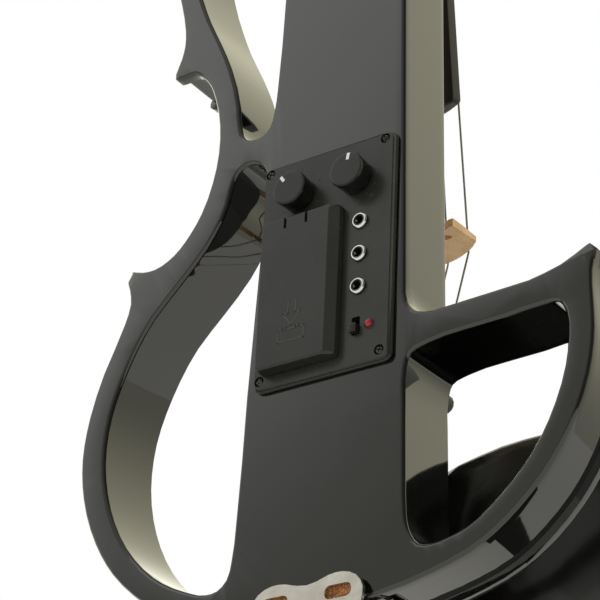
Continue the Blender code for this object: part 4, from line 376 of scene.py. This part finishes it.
class Finish:
    """A material with its surface coordinates and its Principled shader at hand."""

    def __init__(self, name):
        self.material = bpy.data.materials.new(name)
        self.material.use_nodes = True
        self.tree = self.material.node_tree
        self.shader = self.tree.nodes["Principled BSDF"]
        self.place = self.tree.nodes.new("ShaderNodeTexCoord").outputs["Object"]

    def effect(self, kind, **values):
        """One of the shared groups, placed in this material with its own values."""
        node = self.tree.nodes.new("ShaderNodeGroup")
        node.node_tree = GROUPS[kind]
        self.tree.links.new(self.place, node.inputs["Vector"])
        for label, value in values.items():
            node.inputs[label].default_value = value
        return node.outputs

    def feed(self, label, socket):
        self.tree.links.new(socket, self.shader.inputs[label])

    def set(self, **values):
        for label, value in values.items():
            self.shader.inputs[label.replace("_", " ")].default_value = value

    def bump(self, height, strength, depth):
        """Small relief from a height."""
        node = self.tree.nodes.new("ShaderNodeBump")
        node.inputs["Strength"].default_value = strength
        node.inputs["Distance"].default_value = depth
        self.tree.links.new(height, node.inputs["Height"])
        self.tree.links.new(node.outputs["Normal"], self.shader.inputs["Normal"])


# %% [markdown]
# ## Lacquer
# The wood is sealed, sprayed black and polished until it mirrors the room. Two things keep such a
# surface from looking like flat ink: a very slow waviness that bends reflections, and faint patches
# where it has been touched. The reflection itself comes from the shader's clear coat.

# %% Black lacquer


def make_lacquer():
    """Deep black under a polished clear coat."""
    made = Finish("black_lacquer")
    drift = made.effect("drift", Scale=14.0, First=(0.0018, 0.0018, 0.0016, 1.0), Second=(0.0032, 0.0032, 0.0028, 1.0))
    marks = made.effect("marks", Scale=22.0, Clean=0.035, Dull=0.085)
    made.feed("Base Color", drift["Color"])
    made.feed("Roughness", marks["Roughness"])
    made.set(IOR=1.5, Coat_Weight=1.0, Coat_Roughness=0.03, Coat_IOR=1.5)
    made.bump(marks["Height"], 0.08, 0.0004)
    return made.material


lacquer = make_lacquer()
print("made", lacquer.name)

# %% [markdown]
# ## Plastics
# The panel and its cover come from the same satin mould texture, a little grey, with a fine bump that
# spreads highlights. The chinrest, the knobs and the tailpiece are glossier.

# %% Satin and glossy plastics


def make_plastic(name, dark, pale, clean, dull, grit):
    """Moulded plastic: colour drift, hand marks in the gloss and a fine mould texture."""
    made = Finish(name)
    drift = made.effect("drift", Scale=60.0, First=(*dark, 1.0), Second=(*pale, 1.0))
    marks = made.effect("marks", Scale=70.0, Clean=clean, Dull=dull)
    mould = made.effect("moulded", Scale=4200.0)
    made.feed("Base Color", drift["Color"])
    made.feed("Roughness", marks["Roughness"])
    made.bump(mould["Height"], grit, 0.00006)
    return made.material


panel_plastic = make_plastic("panel_plastic", (0.017, 0.018, 0.015), (0.023, 0.024, 0.020), 0.26, 0.36, 0.30)
cover_plastic = make_plastic("cover_plastic", (0.015, 0.016, 0.013), (0.020, 0.021, 0.018), 0.24, 0.34, 0.28)
gloss_plastic = make_plastic("gloss_plastic", (0.008, 0.008, 0.008), (0.013, 0.013, 0.012), 0.10, 0.20, 0.08)
knob_plastic = make_plastic("knob_plastic", (0.006, 0.006, 0.005), (0.010, 0.010, 0.009), 0.14, 0.24, 0.10)
nylon_cord = make_plastic("nylon_cord", (0.020, 0.020, 0.020), (0.034, 0.034, 0.034), 0.35, 0.50, 0.60)
lead_cover = make_plastic("lead_cover", (0.210, 0.050, 0.030), (0.290, 0.075, 0.040), 0.42, 0.55, 0.20)
chinrest_plastic = make_plastic("chinrest_plastic", (0.0035, 0.0035, 0.0032), (0.0060, 0.0060, 0.0055), 0.22, 0.34, 0.06)
# Paler than the panel: a painted highlight for the lit edges of the raised knob scales.
scale_relief_highlight = make_plastic("scale_relief_highlight", (0.060, 0.062, 0.055), (0.080, 0.082, 0.074), 0.30, 0.40, 0.20)
tuner_black = make_plastic("tuner_black", (0.006, 0.006, 0.006), (0.011, 0.011, 0.010), 0.42, 0.55, 0.10)
# Paler than the lid: a painted highlight for the lit edges of the raised cover signs.
sign_relief_highlight = make_plastic("sign_relief_highlight", (0.040, 0.041, 0.036), (0.055, 0.056, 0.050), 0.26, 0.36, 0.10)
print("plastics", len(bpy.data.materials), "materials so far")

# %% [markdown]
# ## Woods and cork
# Ebony is nearly black with short open pores. The bridge is plain maple, pale amber, with flecks along
# its grain. Cork is a pressed mass of crumbs, so its colour comes from cells with dark seams.

# %% Ebony, maple and cork


def make_wood(name, dark, pale, pore, scale, rough, relief):
    """Bare or oiled wood: streaks between two colours, darker pores."""
    made = Finish(name)
    grain = made.effect("grain", Scale=scale)
    colour = mix_colours(made.tree, grain["Streak"], (*dark, 1.0), (*pale, 1.0))
    colour = mix_colours(made.tree, grain["Pore"], colour, (*pore, 1.0))
    made.feed("Base Color", colour)
    rough_low, rough_high = rough
    spread = math_node(made.tree, "MULTIPLY", grain["Streak"], rough_high - rough_low)
    made.feed("Roughness", math_node(made.tree, "ADD", spread, rough_low))
    made.bump(grain["Height"], relief, 0.00008)
    return made.material


def make_cork():
    """Pressed cork crumbs with dark seams between them."""
    made = Finish("pressed_cork")
    cells = made.tree.nodes.new("ShaderNodeTexVoronoi")
    cells.inputs["Scale"].default_value = 900.0
    made.tree.links.new(made.place, cells.inputs["Vector"])
    seams = made.tree.nodes.new("ShaderNodeTexVoronoi")
    seams.feature = "DISTANCE_TO_EDGE"
    seams.inputs["Scale"].default_value = 900.0
    made.tree.links.new(made.place, seams.inputs["Vector"])
    shade = made.tree.nodes.new("ShaderNodeSeparateColor")
    made.tree.links.new(cells.outputs["Color"], shade.inputs[0])
    crumb = mix_colours(made.tree, shade.outputs[0], (0.30, 0.105, 0.028, 1.0), (0.52, 0.24, 0.085, 1.0))
    seam = ramp_value(made.tree, seams.outputs["Distance"], 0.0, 0.12)
    made.feed("Base Color", mix_colours(made.tree, seam, (0.085, 0.030, 0.010, 1.0), crumb))
    made.set(Roughness=0.88)
    made.bump(seam, 0.6, 0.0001)
    return made.material


ebony = make_wood("ebony", (0.012, 0.010, 0.009), (0.030, 0.024, 0.020), (0.006, 0.005, 0.004), 900.0, (0.30, 0.46), 0.35)
maple = make_wood("bridge_maple", (0.60, 0.36, 0.165), (0.76, 0.50, 0.26), (0.42, 0.22, 0.09), 700.0, (0.42, 0.60), 0.30)
cork = make_cork()
print("woods", ebony.name, maple.name, cork.name)

# %% [markdown]
# ## Metals
# Chrome rings and levers are polished, the clamp is nickel that has yellowed a little, and the strings
# are wound with fine flat wire, which shows as close rings across each string.

# %% Chrome, nickel, brass, screw steel and wound strings


def make_metal(name, dark, pale, clean, dull, relief=0.10):
    """Plated or turned metal with hand marks in its gloss."""
    made = Finish(name)
    drift = made.effect("drift", Scale=180.0, First=(*dark, 1.0), Second=(*pale, 1.0))
    marks = made.effect("marks", Scale=160.0, Clean=clean, Dull=dull)
    grain = made.effect("grain", Scale=2600.0)
    made.feed("Base Color", drift["Color"])
    made.feed("Roughness", marks["Roughness"])
    made.set(Metallic=1.0)
    made.bump(grain["Height"], relief, 0.00002)
    return made.material


def make_wound_string():
    """Steel ribbon wound round a core."""
    made = Finish("wound_string")
    rings = made.tree.nodes.new("ShaderNodeTexWave")
    rings.bands_direction = "Z"
    rings.inputs["Scale"].default_value = 1100.0
    rings.inputs["Distortion"].default_value = 0.3
    made.tree.links.new(made.place, rings.inputs["Vector"])
    drift = made.effect("drift", Scale=60.0, First=(0.30, 0.30, 0.29, 1.0), Second=(0.42, 0.42, 0.40, 1.0))
    colour = mix_colours(made.tree, rings.outputs["Fac"], (0.13, 0.13, 0.12, 1.0), drift["Color"])
    made.feed("Base Color", colour)
    made.set(Metallic=1.0, Roughness=0.34)
    made.bump(rings.outputs["Fac"], 0.5, 0.00008)
    return made.material


chrome = make_metal("chrome", (0.84, 0.84, 0.83), (0.93, 0.93, 0.92), 0.05, 0.12)
nickel = make_metal("clamp_nickel", (0.74, 0.69, 0.62), (0.84, 0.80, 0.74), 0.20, 0.34)
brass = make_metal("brass", (0.56, 0.38, 0.15), (0.72, 0.52, 0.24), 0.22, 0.36)
screw_steel = make_metal("screw_steel", (0.045, 0.045, 0.045), (0.10, 0.10, 0.10), 0.24, 0.40)
plain_steel = make_metal("plain_steel", (0.60, 0.60, 0.60), (0.74, 0.74, 0.73), 0.18, 0.30)
wound_string = make_wound_string()
print("metals", len(bpy.data.materials), "materials so far")

# %% [markdown]
# ## Small coloured finishes
# The lamp is a clear red lens. The circuit board has a green mask. The printed marks are plain white
# paint. The battery has a plain dark sleeve and no print.

# %% Lamp, board, paint and battery sleeve


def make_red_lens():
    """A red moulded lens that glows a little from within."""
    made = Finish("red_lens")
    drift = made.effect("drift", Scale=900.0, First=(0.16, 0.002, 0.005, 1.0), Second=(0.30, 0.006, 0.012, 1.0))
    made.feed("Base Color", drift["Color"])
    made.feed("Emission Color", drift["Color"])
    made.set(Roughness=0.06, Coat_Weight=0.6, Emission_Strength=0.10)
    return made.material


def make_board_mask():
    """Green mask with paler tracks in straight runs."""
    made = Finish("board_mask")
    tracks = made.tree.nodes.new("ShaderNodeTexBrick")
    tracks.inputs["Scale"].default_value = 140.0
    tracks.inputs["Mortar Size"].default_value = 0.06
    tracks.inputs["Color1"].default_value = (0.010, 0.085, 0.035, 1.0)
    tracks.inputs["Color2"].default_value = (0.014, 0.105, 0.045, 1.0)
    tracks.inputs["Mortar"].default_value = (0.050, 0.230, 0.110, 1.0)
    made.tree.links.new(made.place, tracks.inputs["Vector"])
    made.feed("Base Color", tracks.outputs["Color"])
    made.set(Roughness=0.35)
    return made.material


red_lens = make_red_lens()
board_mask = make_board_mask()
mark_paint = make_plastic("mark_paint", (0.74, 0.74, 0.72), (0.86, 0.86, 0.84), 0.50, 0.62, 0.10)
battery_sleeve = make_plastic("battery_sleeve", (0.030, 0.032, 0.036), (0.060, 0.062, 0.068), 0.22, 0.34, 0.05)
print("materials", len(bpy.data.materials))

# %% [markdown]
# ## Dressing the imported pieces
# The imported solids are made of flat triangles, because that is how they were written out. Their shape
# is right, so the honest way to a finished surface is a copy: weld the corners that touch, join the
# triangles of each flat area, double the sides of turned parts, and then take the sharpness off the
# edges, as sanding, moulding and buffing do. Each copy stands for its solid and rides on its body.

# %% Weld, turn, soften and ride
BODY_OF = {node: body for body, nodes in frame["record"]["behaviour"]["bodies"].items() for node in nodes}
WELD = 2e-6
FLAT = math.radians(0.4)
SHARP = math.radians(38)
MM = 0.001
BODY_DEPTH = 28.2 * MM
RING_PLAY = 1e-5
RING_SIDE = math.radians(50)


def box_of(node):
    """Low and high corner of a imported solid."""
    places = [vertex.co for vertex in frame["nodes"][node].data.vertices]
    low = Vector(min(place[axis] for place in places) for axis in range(3))
    high = Vector(max(place[axis] for place in places) for axis in range(3))
    return low, high


def welded(node, join=True):
    """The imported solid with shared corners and, if wanted, joined flat areas."""
    source = frame["nodes"][node].data
    bm = bmesh.new()
    corners = [bm.verts.new(vertex.co) for vertex in source.vertices]
    for face in source.polygons:
        bm.faces.new([corners[i] for i in face.vertices])
    bmesh.ops.remove_doubles(bm, verts=bm.verts, dist=WELD)
    bmesh.ops.recalc_face_normals(bm, faces=bm.faces)
    if join:
        bmesh.ops.dissolve_limit(bm, angle_limit=FLAT, verts=bm.verts, edges=bm.edges)
    return bm


def round_up(bm, axis, centre, times=1):
    """Doubles the sides of turned rings round an axis."""
    first, second = [i for i in range(3) if i != axis]

    def polar(place):
        across = place[first] - centre[first]
        up = place[second] - centre[second]
        return math.hypot(across, up), math.atan2(up, across)

    def on_ring(here, there):
        (near, turn), (far, end) = polar(here.co), polar(there.co)
        swing = abs(math.remainder(end - turn, 2 * math.pi))
        level = abs(here.co[axis] - there.co[axis]) < RING_PLAY
        return level and abs(near - far) < 4 * RING_PLAY and near > 10 * RING_PLAY and swing < RING_SIDE

    for _ in range(times):
        old = set(bm.verts)
        rings = [edge for edge in bm.edges if on_ring(*edge.verts)]
        bmesh.ops.subdivide_edges(bm, edges=rings, cuts=1)
        for vertex in set(bm.verts) - old:
            _, turn = polar(vertex.co)
            ends = [edge.other_vert(vertex) for edge in vertex.link_edges]
            reach = [polar(end.co)[0] for end in ends if end in old]
            if not reach:
                continue
            vertex.co[first] = centre[first] + max(reach) * math.cos(turn)
            vertex.co[second] = centre[second] + max(reach) * math.sin(turn)


def soften(bm, width, segments=2, limit=SHARP, choose=None, clamp=True):
    """Rounds the edges that meet at a clear angle."""
    bm.normal_update()
    edges = [
        edge for edge in bm.edges
        if edge.is_manifold and edge.calc_face_angle() > limit and (choose is None or choose(edge))
    ]
    bmesh.ops.bevel(
        bm, geom=edges, offset=width, offset_type="OFFSET", segments=segments, profile=0.5,
        affect="EDGES", clamp_overlap=clamp,
    )
    bmesh.ops.remove_doubles(bm, verts=bm.verts, dist=WELD)


def add_piece(name, bm, material, node, sharp=SHARP, stands=False):
    """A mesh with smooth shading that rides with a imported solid, or stands for it."""
    mesh = bpy.data.meshes.new(name)
    bm.to_mesh(mesh)
    bm.free()
    piece = bpy.data.objects.new(name, mesh)
    bpy.context.collection.objects.link(piece)
    mesh.materials.append(material)
    mesh.shade_smooth()
    mesh.set_sharp_from_angle(angle=sharp)
    lead = piece.modifiers.new("lead by area", "WEIGHTED_NORMAL")
    lead.keep_sharp = True
    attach(piece, BODY_OF[node])
    if stands:
        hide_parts(node)
    return piece


def dress(node, material, soft=0.0, segments=2, sharp=SHARP):
    """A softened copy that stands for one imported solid."""
    bm = welded(node)
    if soft:
        soften(bm, soft, segments)
    return add_piece(node + "_shown", bm, material, node, sharp, True)


def turned(node, axis, times=1, centre=None):
    """A turned solid with more sides."""
    low, high = box_of(node)
    bm = welded(node)
    round_up(bm, axis, centre or (low + high) / 2, times)
    return bm


def dress_turned(node, material, axis, soft=0.0, times=1, segments=2):
    """A copy with more sides that stands for a turned solid."""
    bm = turned(node, axis, times)
    if soft:
        soften(bm, soft, segments)
    return add_piece(node + "_shown", bm, material, node, SHARP, True)


# %% Dress the plain pieces
STRINGS = ("g", "d", "a", "e")
SOFT_DRESS = [
    (ebony, 0.45 * MM, ("fingerboard", "saddle")),
    (ebony, 0.15 * MM, ("nut",)),
    (maple, 0.22 * MM, ("bridge",)),
    (gloss_plastic, 0.7 * MM, ("tailpiece",)),
    (chinrest_plastic, 0.8 * MM, ("chinrest",)),
    (gloss_plastic, 0.1 * MM, ("power_switch", "battery_clip")),
    (panel_plastic, 0.22 * MM, ("preamp_panel",)),
    (battery_sleeve, 0.4 * MM, ("battery",)),
    (brass, 0.0, ("pickup_element",)),
    (nickel, 0.35 * MM, ("chinrest_bracket", "clamp_foot")),
    (cork, 0.25 * MM, ("chinrest_cork_treble", "chinrest_cork_bass", "clamp_cork")),
    (board_mask, 0.0, ("circuit_board",)),
    (lead_cover, 0.0, ("pickup_wire",)),
    (nylon_cord, 0.0, ("tailgut",)),
    (lacquer, 0.0, ("neck",)),
]
for material, width, nodes in SOFT_DRESS:
    for node in nodes:
        dress(node, material, width)
for name in STRINGS:
    dress("string_" + name, plain_steel if name == "e" else wound_string)
    dress("ball_end_" + name, brass)
    dress("tuner_lever_" + name, chrome, 0.12 * MM)
    dress_turned("peg_" + name, ebony, 0, 0.15 * MM)

# %% [markdown]
# ## The lacquered body
# A sprayed and polished body has no sharp edge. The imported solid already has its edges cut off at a
# slope, and here both rims of each slope are rounded over, so that a reflection runs round the edge
# as a soft band and not as a flat strip.

# %% Round the body's edges
SLOPE = 1.5 * MM
SLOPE_PLAY = 0.02 * MM
SLOPE_CUTS = 3
SLOPE_BULGE = 0.27 * MM


def dress_body():
    """The body with its sloped plate edges rounded over."""
    bm = welded("body", False)
    planes = (box_of("body")[1].y, FRONT_PLANE)
    slopes = []
    for edge in bm.edges:
        ends = [vertex.co.y for vertex in edge.verts]
        for plane in planes:
            if min(abs(end - plane) for end in ends) < SLOPE_PLAY and abs(abs(ends[0] - ends[1]) - SLOPE) < SLOPE_PLAY:
                slopes.append(edge)
                break
    old = set(bm.verts)
    bmesh.ops.subdivide_edges(bm, edges=slopes, cuts=SLOPE_CUTS)
    bm.normal_update()
    fresh = [(vertex, vertex.normal.copy()) for vertex in bm.verts if vertex not in old]
    for vertex, normal in fresh:
        share = min(abs(vertex.co.y - plane) for plane in planes) / SLOPE
        vertex.co += normal * SLOPE_BULGE * max(0.0, 4 * share * (1 - share))
    add_piece("body_shown", bm, lacquer, "body", math.radians(50), True)
    return len(fresh)


FRONT_PLANE = box_of("body")[1].y - BODY_DEPTH
print("body edge points", dress_body())

# %% [markdown]
# ## Knobs
# Each knob is a turned cap with a well rounded rim. A raised white pointer runs over the rim. The
# pointers stand as in the photograph: the treble knob a third of the way down, the bass knob a little
# up from the middle. Plain scales are raised on the panel round them. They are painted paler than the
# panel, a painted highlight for the lit edges of their low relief.

# %% Knobs, pointers and scales
BACKWARDS = Vector((0.0, 1.0, 0.0))
UP = Vector((0.0, 0.0, 1.0))
KNOB_RIM = 1.0 * MM
KNOB_SINK = 0.09 * MM
POINTER_HALF = 0.60 * MM
POINTER_LIFT = 0.05 * MM
POINTER_ROOT = 0.30 * MM
POINTER_LINE = ((3.7, 0.0), (5.9, 0.0), (6.35, -0.13), (6.72, -0.42))
POINTER_TURN = {"treble": -35.0, "bass": 10.0}
SCALE_RADIUS = 9.0 * MM
SCALE_STEPS = range(-150, 151, 30)
FIGURE_SIZE = 1.9 * MM


def clock(turn):
    """Direction of a clockwise angle from up, as seen from the back."""
    angle = math.radians(turn)
    return Vector((-math.sin(angle), 0.0, math.cos(angle)))


def strip(bm, centres, side, lift, half, root):
    """A closed strip along centres: its top is lifted and its root goes into the part below."""
    rings = []
    for centre in centres:
        rings.append([
            bm.verts.new(centre + side * across + BACKWARDS * up)
            for across, up in ((-half, -root), (half, -root), (half, lift), (-half, lift))
        ])
    for near, far in zip(rings, rings[1:]):
        for i in range(4):
            bm.faces.new((near[i - 1], near[i], far[i], far[i - 1]))
    bm.faces.new(rings[0])
    bm.faces.new(rings[-1][::-1])
    bmesh.ops.recalc_face_normals(bm, faces=bm.faces)


def dress_knob(side):
    """A knob with a rounded rim and its pointer."""
    node = "knob_" + side
    low, high = box_of(node)
    top = high.y - KNOB_SINK
    middle = (low + high) / 2
    bm = turned(node, 1, 2)
    for vertex in bm.verts:
        vertex.co.y = min(vertex.co.y, top)
    soften(bm, KNOB_RIM, 5, SHARP, lambda edge: all(vertex.co.y > top - RING_PLAY for vertex in edge.verts), False)
    add_piece(node + "_shown", bm, knob_plastic, node, SHARP, True)
    along = clock(POINTER_TURN[side])
    start = Vector((middle.x, top, middle.z))
    centres = [start + along * out * MM + BACKWARDS * rise * MM for out, rise in POINTER_LINE]
    bm = bmesh.new()
    strip(bm, centres, along.cross(BACKWARDS), POINTER_LIFT, POINTER_HALF, POINTER_ROOT)
    add_piece(node + "_pointer", bm, mark_paint, node)
    return start


def raised_words(bm, words, size, place, thick):
    """Raised figures on the back, read from behind."""
    curve = bpy.data.curves.new("figures", "FONT")
    curve.body = words
    curve.size = size
    curve.extrude = thick / 2
    curve.resolution_u = 2
    curve.align_x = "CENTER"
    curve.align_y = "CENTER"
    text = bpy.data.objects.new("figures", curve)
    bpy.context.collection.objects.link(text)
    mesh = bpy.data.meshes.new_from_object(text)
    axes = Matrix(((-1.0, 0.0, 0.0), (0.0, 0.0, 1.0), (0.0, 1.0, 0.0))).to_4x4()
    mesh.transform(Matrix.Translation(place) @ axes)
    bm.from_mesh(mesh)
    bpy.data.objects.remove(text)
    bpy.data.curves.remove(curve)
    bpy.data.meshes.remove(mesh)


def add_scales(centres):
    """Raised ticks and plain figures round both knobs."""
    face = box_of("preamp_panel")[1].y
    bm = bmesh.new()
    for centre in centres:
        middle = Vector((centre.x, face, centre.z))
        for turn in SCALE_STEPS:
            along = clock(turn)
            ends = [middle + along * SCALE_RADIUS * share for share in (0.93, 1.03)]
            strip(bm, ends, along.cross(BACKWARDS), 0.12 * MM, 0.13 * MM, 0.05 * MM)
        for turn, words in ((-145, "0"), (0, "5"), (145, "10")):
            raised_words(bm, words, FIGURE_SIZE, middle + clock(turn) * (SCALE_RADIUS + 1.9 * MM), 0.22 * MM)
    add_piece("knob_scales", bm, scale_relief_highlight, "preamp_panel")


add_scales([dress_knob("treble"), dress_knob("bass")])

# %% [markdown]
# ## Battery cover
# The lid is a shallow box with generous edges. A battery's outline and an arrow towards the open end
# are raised on it, without words. They are hair-thin raised lines, painted paler than the lid: a painted
# highlight that stands for the lit edges of the low relief.

# %% Battery cover with its raised signs
COVER_EDGE = 0.75 * MM
SIGN_HALF = 0.22 * MM
SIGN_LIFT = 0.10 * MM
SIGN_ROOT = 0.10 * MM
ARROW = ((-1.6, 6.4), (-1.6, 1.6), (-3.6, 1.6), (0.0, -3.2), (3.6, 1.6), (1.6, 1.6), (1.6, 6.4))
BATTERY_SIGN = ((-5.4, -9.2), (5.4, -9.2), (5.4, -4.6), (-5.4, -4.6), (-5.4, -9.2))
BATTERY_POLES = (((-3.4, -4.6), (-3.4, -3.9), (-2.0, -3.9), (-2.0, -4.6)), ((2.0, -4.6), (2.0, -3.9), (3.4, -3.9), (3.4, -4.6)))
SIGN_PLACE = 0.30


def raised_line(bm, points, place):
    """A raised line along points given in millimetres across and up."""
    spots = [place + Vector((-across * MM, 0.0, up * MM)) for across, up in points]
    for near, far in zip(spots, spots[1:]):
        along = (far - near).normalized() * SIGN_HALF
        strip(bm, [near - along, far + along], along.normalized().cross(BACKWARDS), SIGN_LIFT, SIGN_HALF, SIGN_ROOT)


def dress_cover():
    """The lid with rounded edges, and its signs."""
    bm = welded("battery_cover")
    soften(bm, COVER_EDGE, 3, SHARP, lambda edge: edge.verts[0].co.y > face - 5.2 * MM)
    add_piece("battery_cover_shown", bm, cover_plastic, "battery_cover", SHARP, True)
    bm = bmesh.new()
    place = Vector(((low.x + high.x) / 2 + 1.0 * MM, face, low.z + SIGN_PLACE * (high.z - low.z)))
    for line in (ARROW, BATTERY_SIGN, *BATTERY_POLES):
        raised_line(bm, line, place)
    add_piece("battery_cover_signs", bm, sign_relief_highlight, "battery_cover")


low, high = box_of("battery_cover")
face = high.y
dress_cover()
print("cover face at", round(face, 4))

# %% [markdown]
# ## Sockets, screws, switch and lamp
# A socket shows a thin polished ring, a dark insulating collar inside it and a spring contact down the
# bore. The screws have a cross recess. The switch has grip ridges, and the lamp sits in a collar.

# %% Sockets
COLLAR_OUT = 2.25 * MM
COLLAR_IN = 1.72 * MM
COLLAR_LIFT = 0.05 * MM
COLLAR_DEEP = 5.0 * MM
COLLAR_SIDES = 40
CONTACT_HALF = 0.45 * MM


def lathe(bm, profile, place, sides, way=BACKWARDS):
    """A closed ring turned from (radius, height) points round the backward axis."""
    rings = []
    for k in range(sides):
        turn = 2 * math.pi * k / sides
        out = Vector((math.cos(turn), 0.0, math.sin(turn)))
        rings.append([bm.verts.new(place + out * radius + way * rise) for radius, rise in profile])
    for k, ring in enumerate(rings):
        for i in range(len(profile)):
            bm.faces.new((rings[k - 1][i - 1], rings[k - 1][i], ring[i], ring[i - 1]))
    bmesh.ops.recalc_face_normals(bm, faces=bm.faces)


def dress_jack(name):
    """A socket's ring, its collar and its contact."""
    node = "jack_" + name
    bm = turned(node, 1, 2)
    soften(bm, 0.28 * MM, 3)
    add_piece(node + "_shown", bm, chrome, node, SHARP, True)
    near, far = box_of(node)
    top = Vector(((near.x + far.x) / 2, far.y, (near.z + far.z) / 2))
    bm = bmesh.new()
    collar = (
        (COLLAR_OUT, -0.3 * MM), (COLLAR_OUT, COLLAR_LIFT), (COLLAR_IN, COLLAR_LIFT - 0.1 * MM),
        (COLLAR_IN, -COLLAR_DEEP), (COLLAR_IN + 0.05 * MM, -COLLAR_DEEP), (COLLAR_IN + 0.05 * MM, -0.3 * MM),
    )
    lathe(bm, collar, top, COLLAR_SIDES)
    add_piece(node + "_collar", bm, gloss_plastic, node)
    bm = bmesh.new()
    out = COLLAR_IN - 0.25 * MM
    leaf = [top + Vector((out - bend * MM, -deep * MM, 0.1 * MM)) for bend, deep in ((0.0, 0.25), (0.45, 0.9), (0.1, 1.8))]
    strip(bm, leaf, UP, 0.08 * MM, CONTACT_HALF, 0.08 * MM)
    add_piece(node + "_contact", bm, chrome, node)


for name in ("headphone", "aux", "line"):
    dress_jack(name)
print("sockets", 3)

# %% Screws with cross recesses
RECESS_REACH = 1.15 * MM
RECESS_HALF = 0.26 * MM
RECESS_DEEP = 0.75 * MM


def bar(bm, place, along, reach, half, deep):
    """A bar across a screw's head, to be cut out of it."""
    side = along.cross(BACKWARDS)
    strip(bm, [place - along * reach, place + along * reach], side, deep, half, deep)


def dress_screw(node, material, turn, reach, half, deep, arms, sides_times=2):
    """A turned screw with a slot or a cross cut into its head."""
    near, far = box_of(node)
    bm = turned(node, 1, sides_times)
    soften(bm, 0.16 * MM)
    head = add_piece(node + "_shown", bm, material, node, SHARP, True)
    top = Vector(((near.x + far.x) / 2, far.y, (near.z + far.z) / 2))
    for arm in range(arms):
        bm = bmesh.new()
        bar(bm, top, clock(turn + 90 * arm), reach, half, deep * (1 - 0.06 * arm))
        mesh = bpy.data.meshes.new("cutter")
        bm.to_mesh(mesh)
        bm.free()
        cutter = bpy.data.objects.new("cutter", mesh)
        bpy.context.collection.objects.link(cutter)
        cut = head.modifiers.new("recess", "BOOLEAN")
        cut.operation = "DIFFERENCE"
        cut.solver = "EXACT"
        cut.object = cutter
        with_recess = bpy.data.meshes.new_from_object(head.evaluated_get(bpy.context.evaluated_depsgraph_get()))
        head.modifiers.clear()
        head.data = with_recess
        bpy.data.objects.remove(cutter)
    head.data.shade_smooth()
    head.data.set_sharp_from_angle(angle=math.radians(30))


SCREW_TURNS = {"upper_treble": 20, "upper_bass": 62, "lower_treble": 41, "lower_bass": 16}
for place, turn in SCREW_TURNS.items():
    dress_screw("panel_screw_" + place, screw_steel, turn, RECESS_REACH, RECESS_HALF, RECESS_DEEP, 2)
print("screws", len(SCREW_TURNS))

# %% Switch and lamp
RIDGE_LIFT = 0.16 * MM


def dress_switch():
    """The slider with ridges across its grip."""
    near, far = box_of("switch_slider")
    bm = welded("switch_slider")
    soften(bm, 0.18 * MM)
    for vertex in bm.verts:
        if vertex.co.y > far.y - 0.3 * MM:
            vertex.co.y -= RIDGE_LIFT
    middle = (near + far) / 2
    reach = (far.x - near.x) / 2
    for k in (-1, 0, 1):
        ends = [Vector((middle.x + side * reach * 0.5, far.y - RIDGE_LIFT, middle.z + k * 0.95 * MM)) for side in (-1, 1)]
        strip(bm, ends, UP, RIDGE_LIFT, 0.22 * MM, 0.1 * MM)
    add_piece("switch_slider_shown", bm, knob_plastic, "switch_slider", SHARP, True)


def dress_lamp():
    """The lens and a thin collar round it."""
    near, far = box_of("power_led")
    dress_turned("power_led", red_lens, 1, 0.0, 2)
    face_y = box_of("preamp_panel")[1].y
    base = Vector(((near.x + far.x) / 2, face_y, (near.z + far.z) / 2))
    reach = 1.62 * MM
    collar = ((reach, -0.1 * MM), (reach, 0.22 * MM), (reach + 0.15 * MM, 0.30 * MM), (reach + 0.42 * MM, 0.18 * MM), (reach + 0.5 * MM, -0.1 * MM))
    bm = bmesh.new()
    lathe(bm, collar, base, COLLAR_SIDES)
    add_piece("power_led_collar", bm, panel_plastic, "preamp_panel")


dress_switch()
dress_lamp()
print("switch and lamp dressed")

# %% [markdown]
# ## Tuner screws, clamp barrels and the rest
# The tuner screws have a knurled head that fingers can grip, so every other side of the head stands in.

# %% Knurled tuners and the last turned pieces
KNURL = 0.42 * MM


def dress_tuner(name):
    """A tuner screw with a knurled head."""
    node = "tuner_screw_" + name
    near, far = box_of(node)
    centre = (near + far) / 2
    bm = turned(node, 1, 2)
    reach = (far.x - near.x) / 2
    for vertex in bm.verts:
        across = Vector((vertex.co.x - centre.x, 0.0, vertex.co.z - centre.z))
        place = round(math.atan2(across.z, across.x) / (2 * math.pi / 56))
        if across.length > 0.97 * reach and place % 2:
            vertex.co -= across.normalized() * KNURL
    add_piece(node + "_shown", bm, tuner_black, node, math.radians(20), True)


for name in STRINGS:
    dress_tuner(name)
for side in ("treble", "bass"):
    dress_turned("potentiometer_" + side, plain_steel, 1, 0.2 * MM)
    dress_turned("clamp_barrel_" + side, nickel, 1, 0.15 * MM, 2)
dress_turned("end_button", ebony, 2, 0.3 * MM, 2)
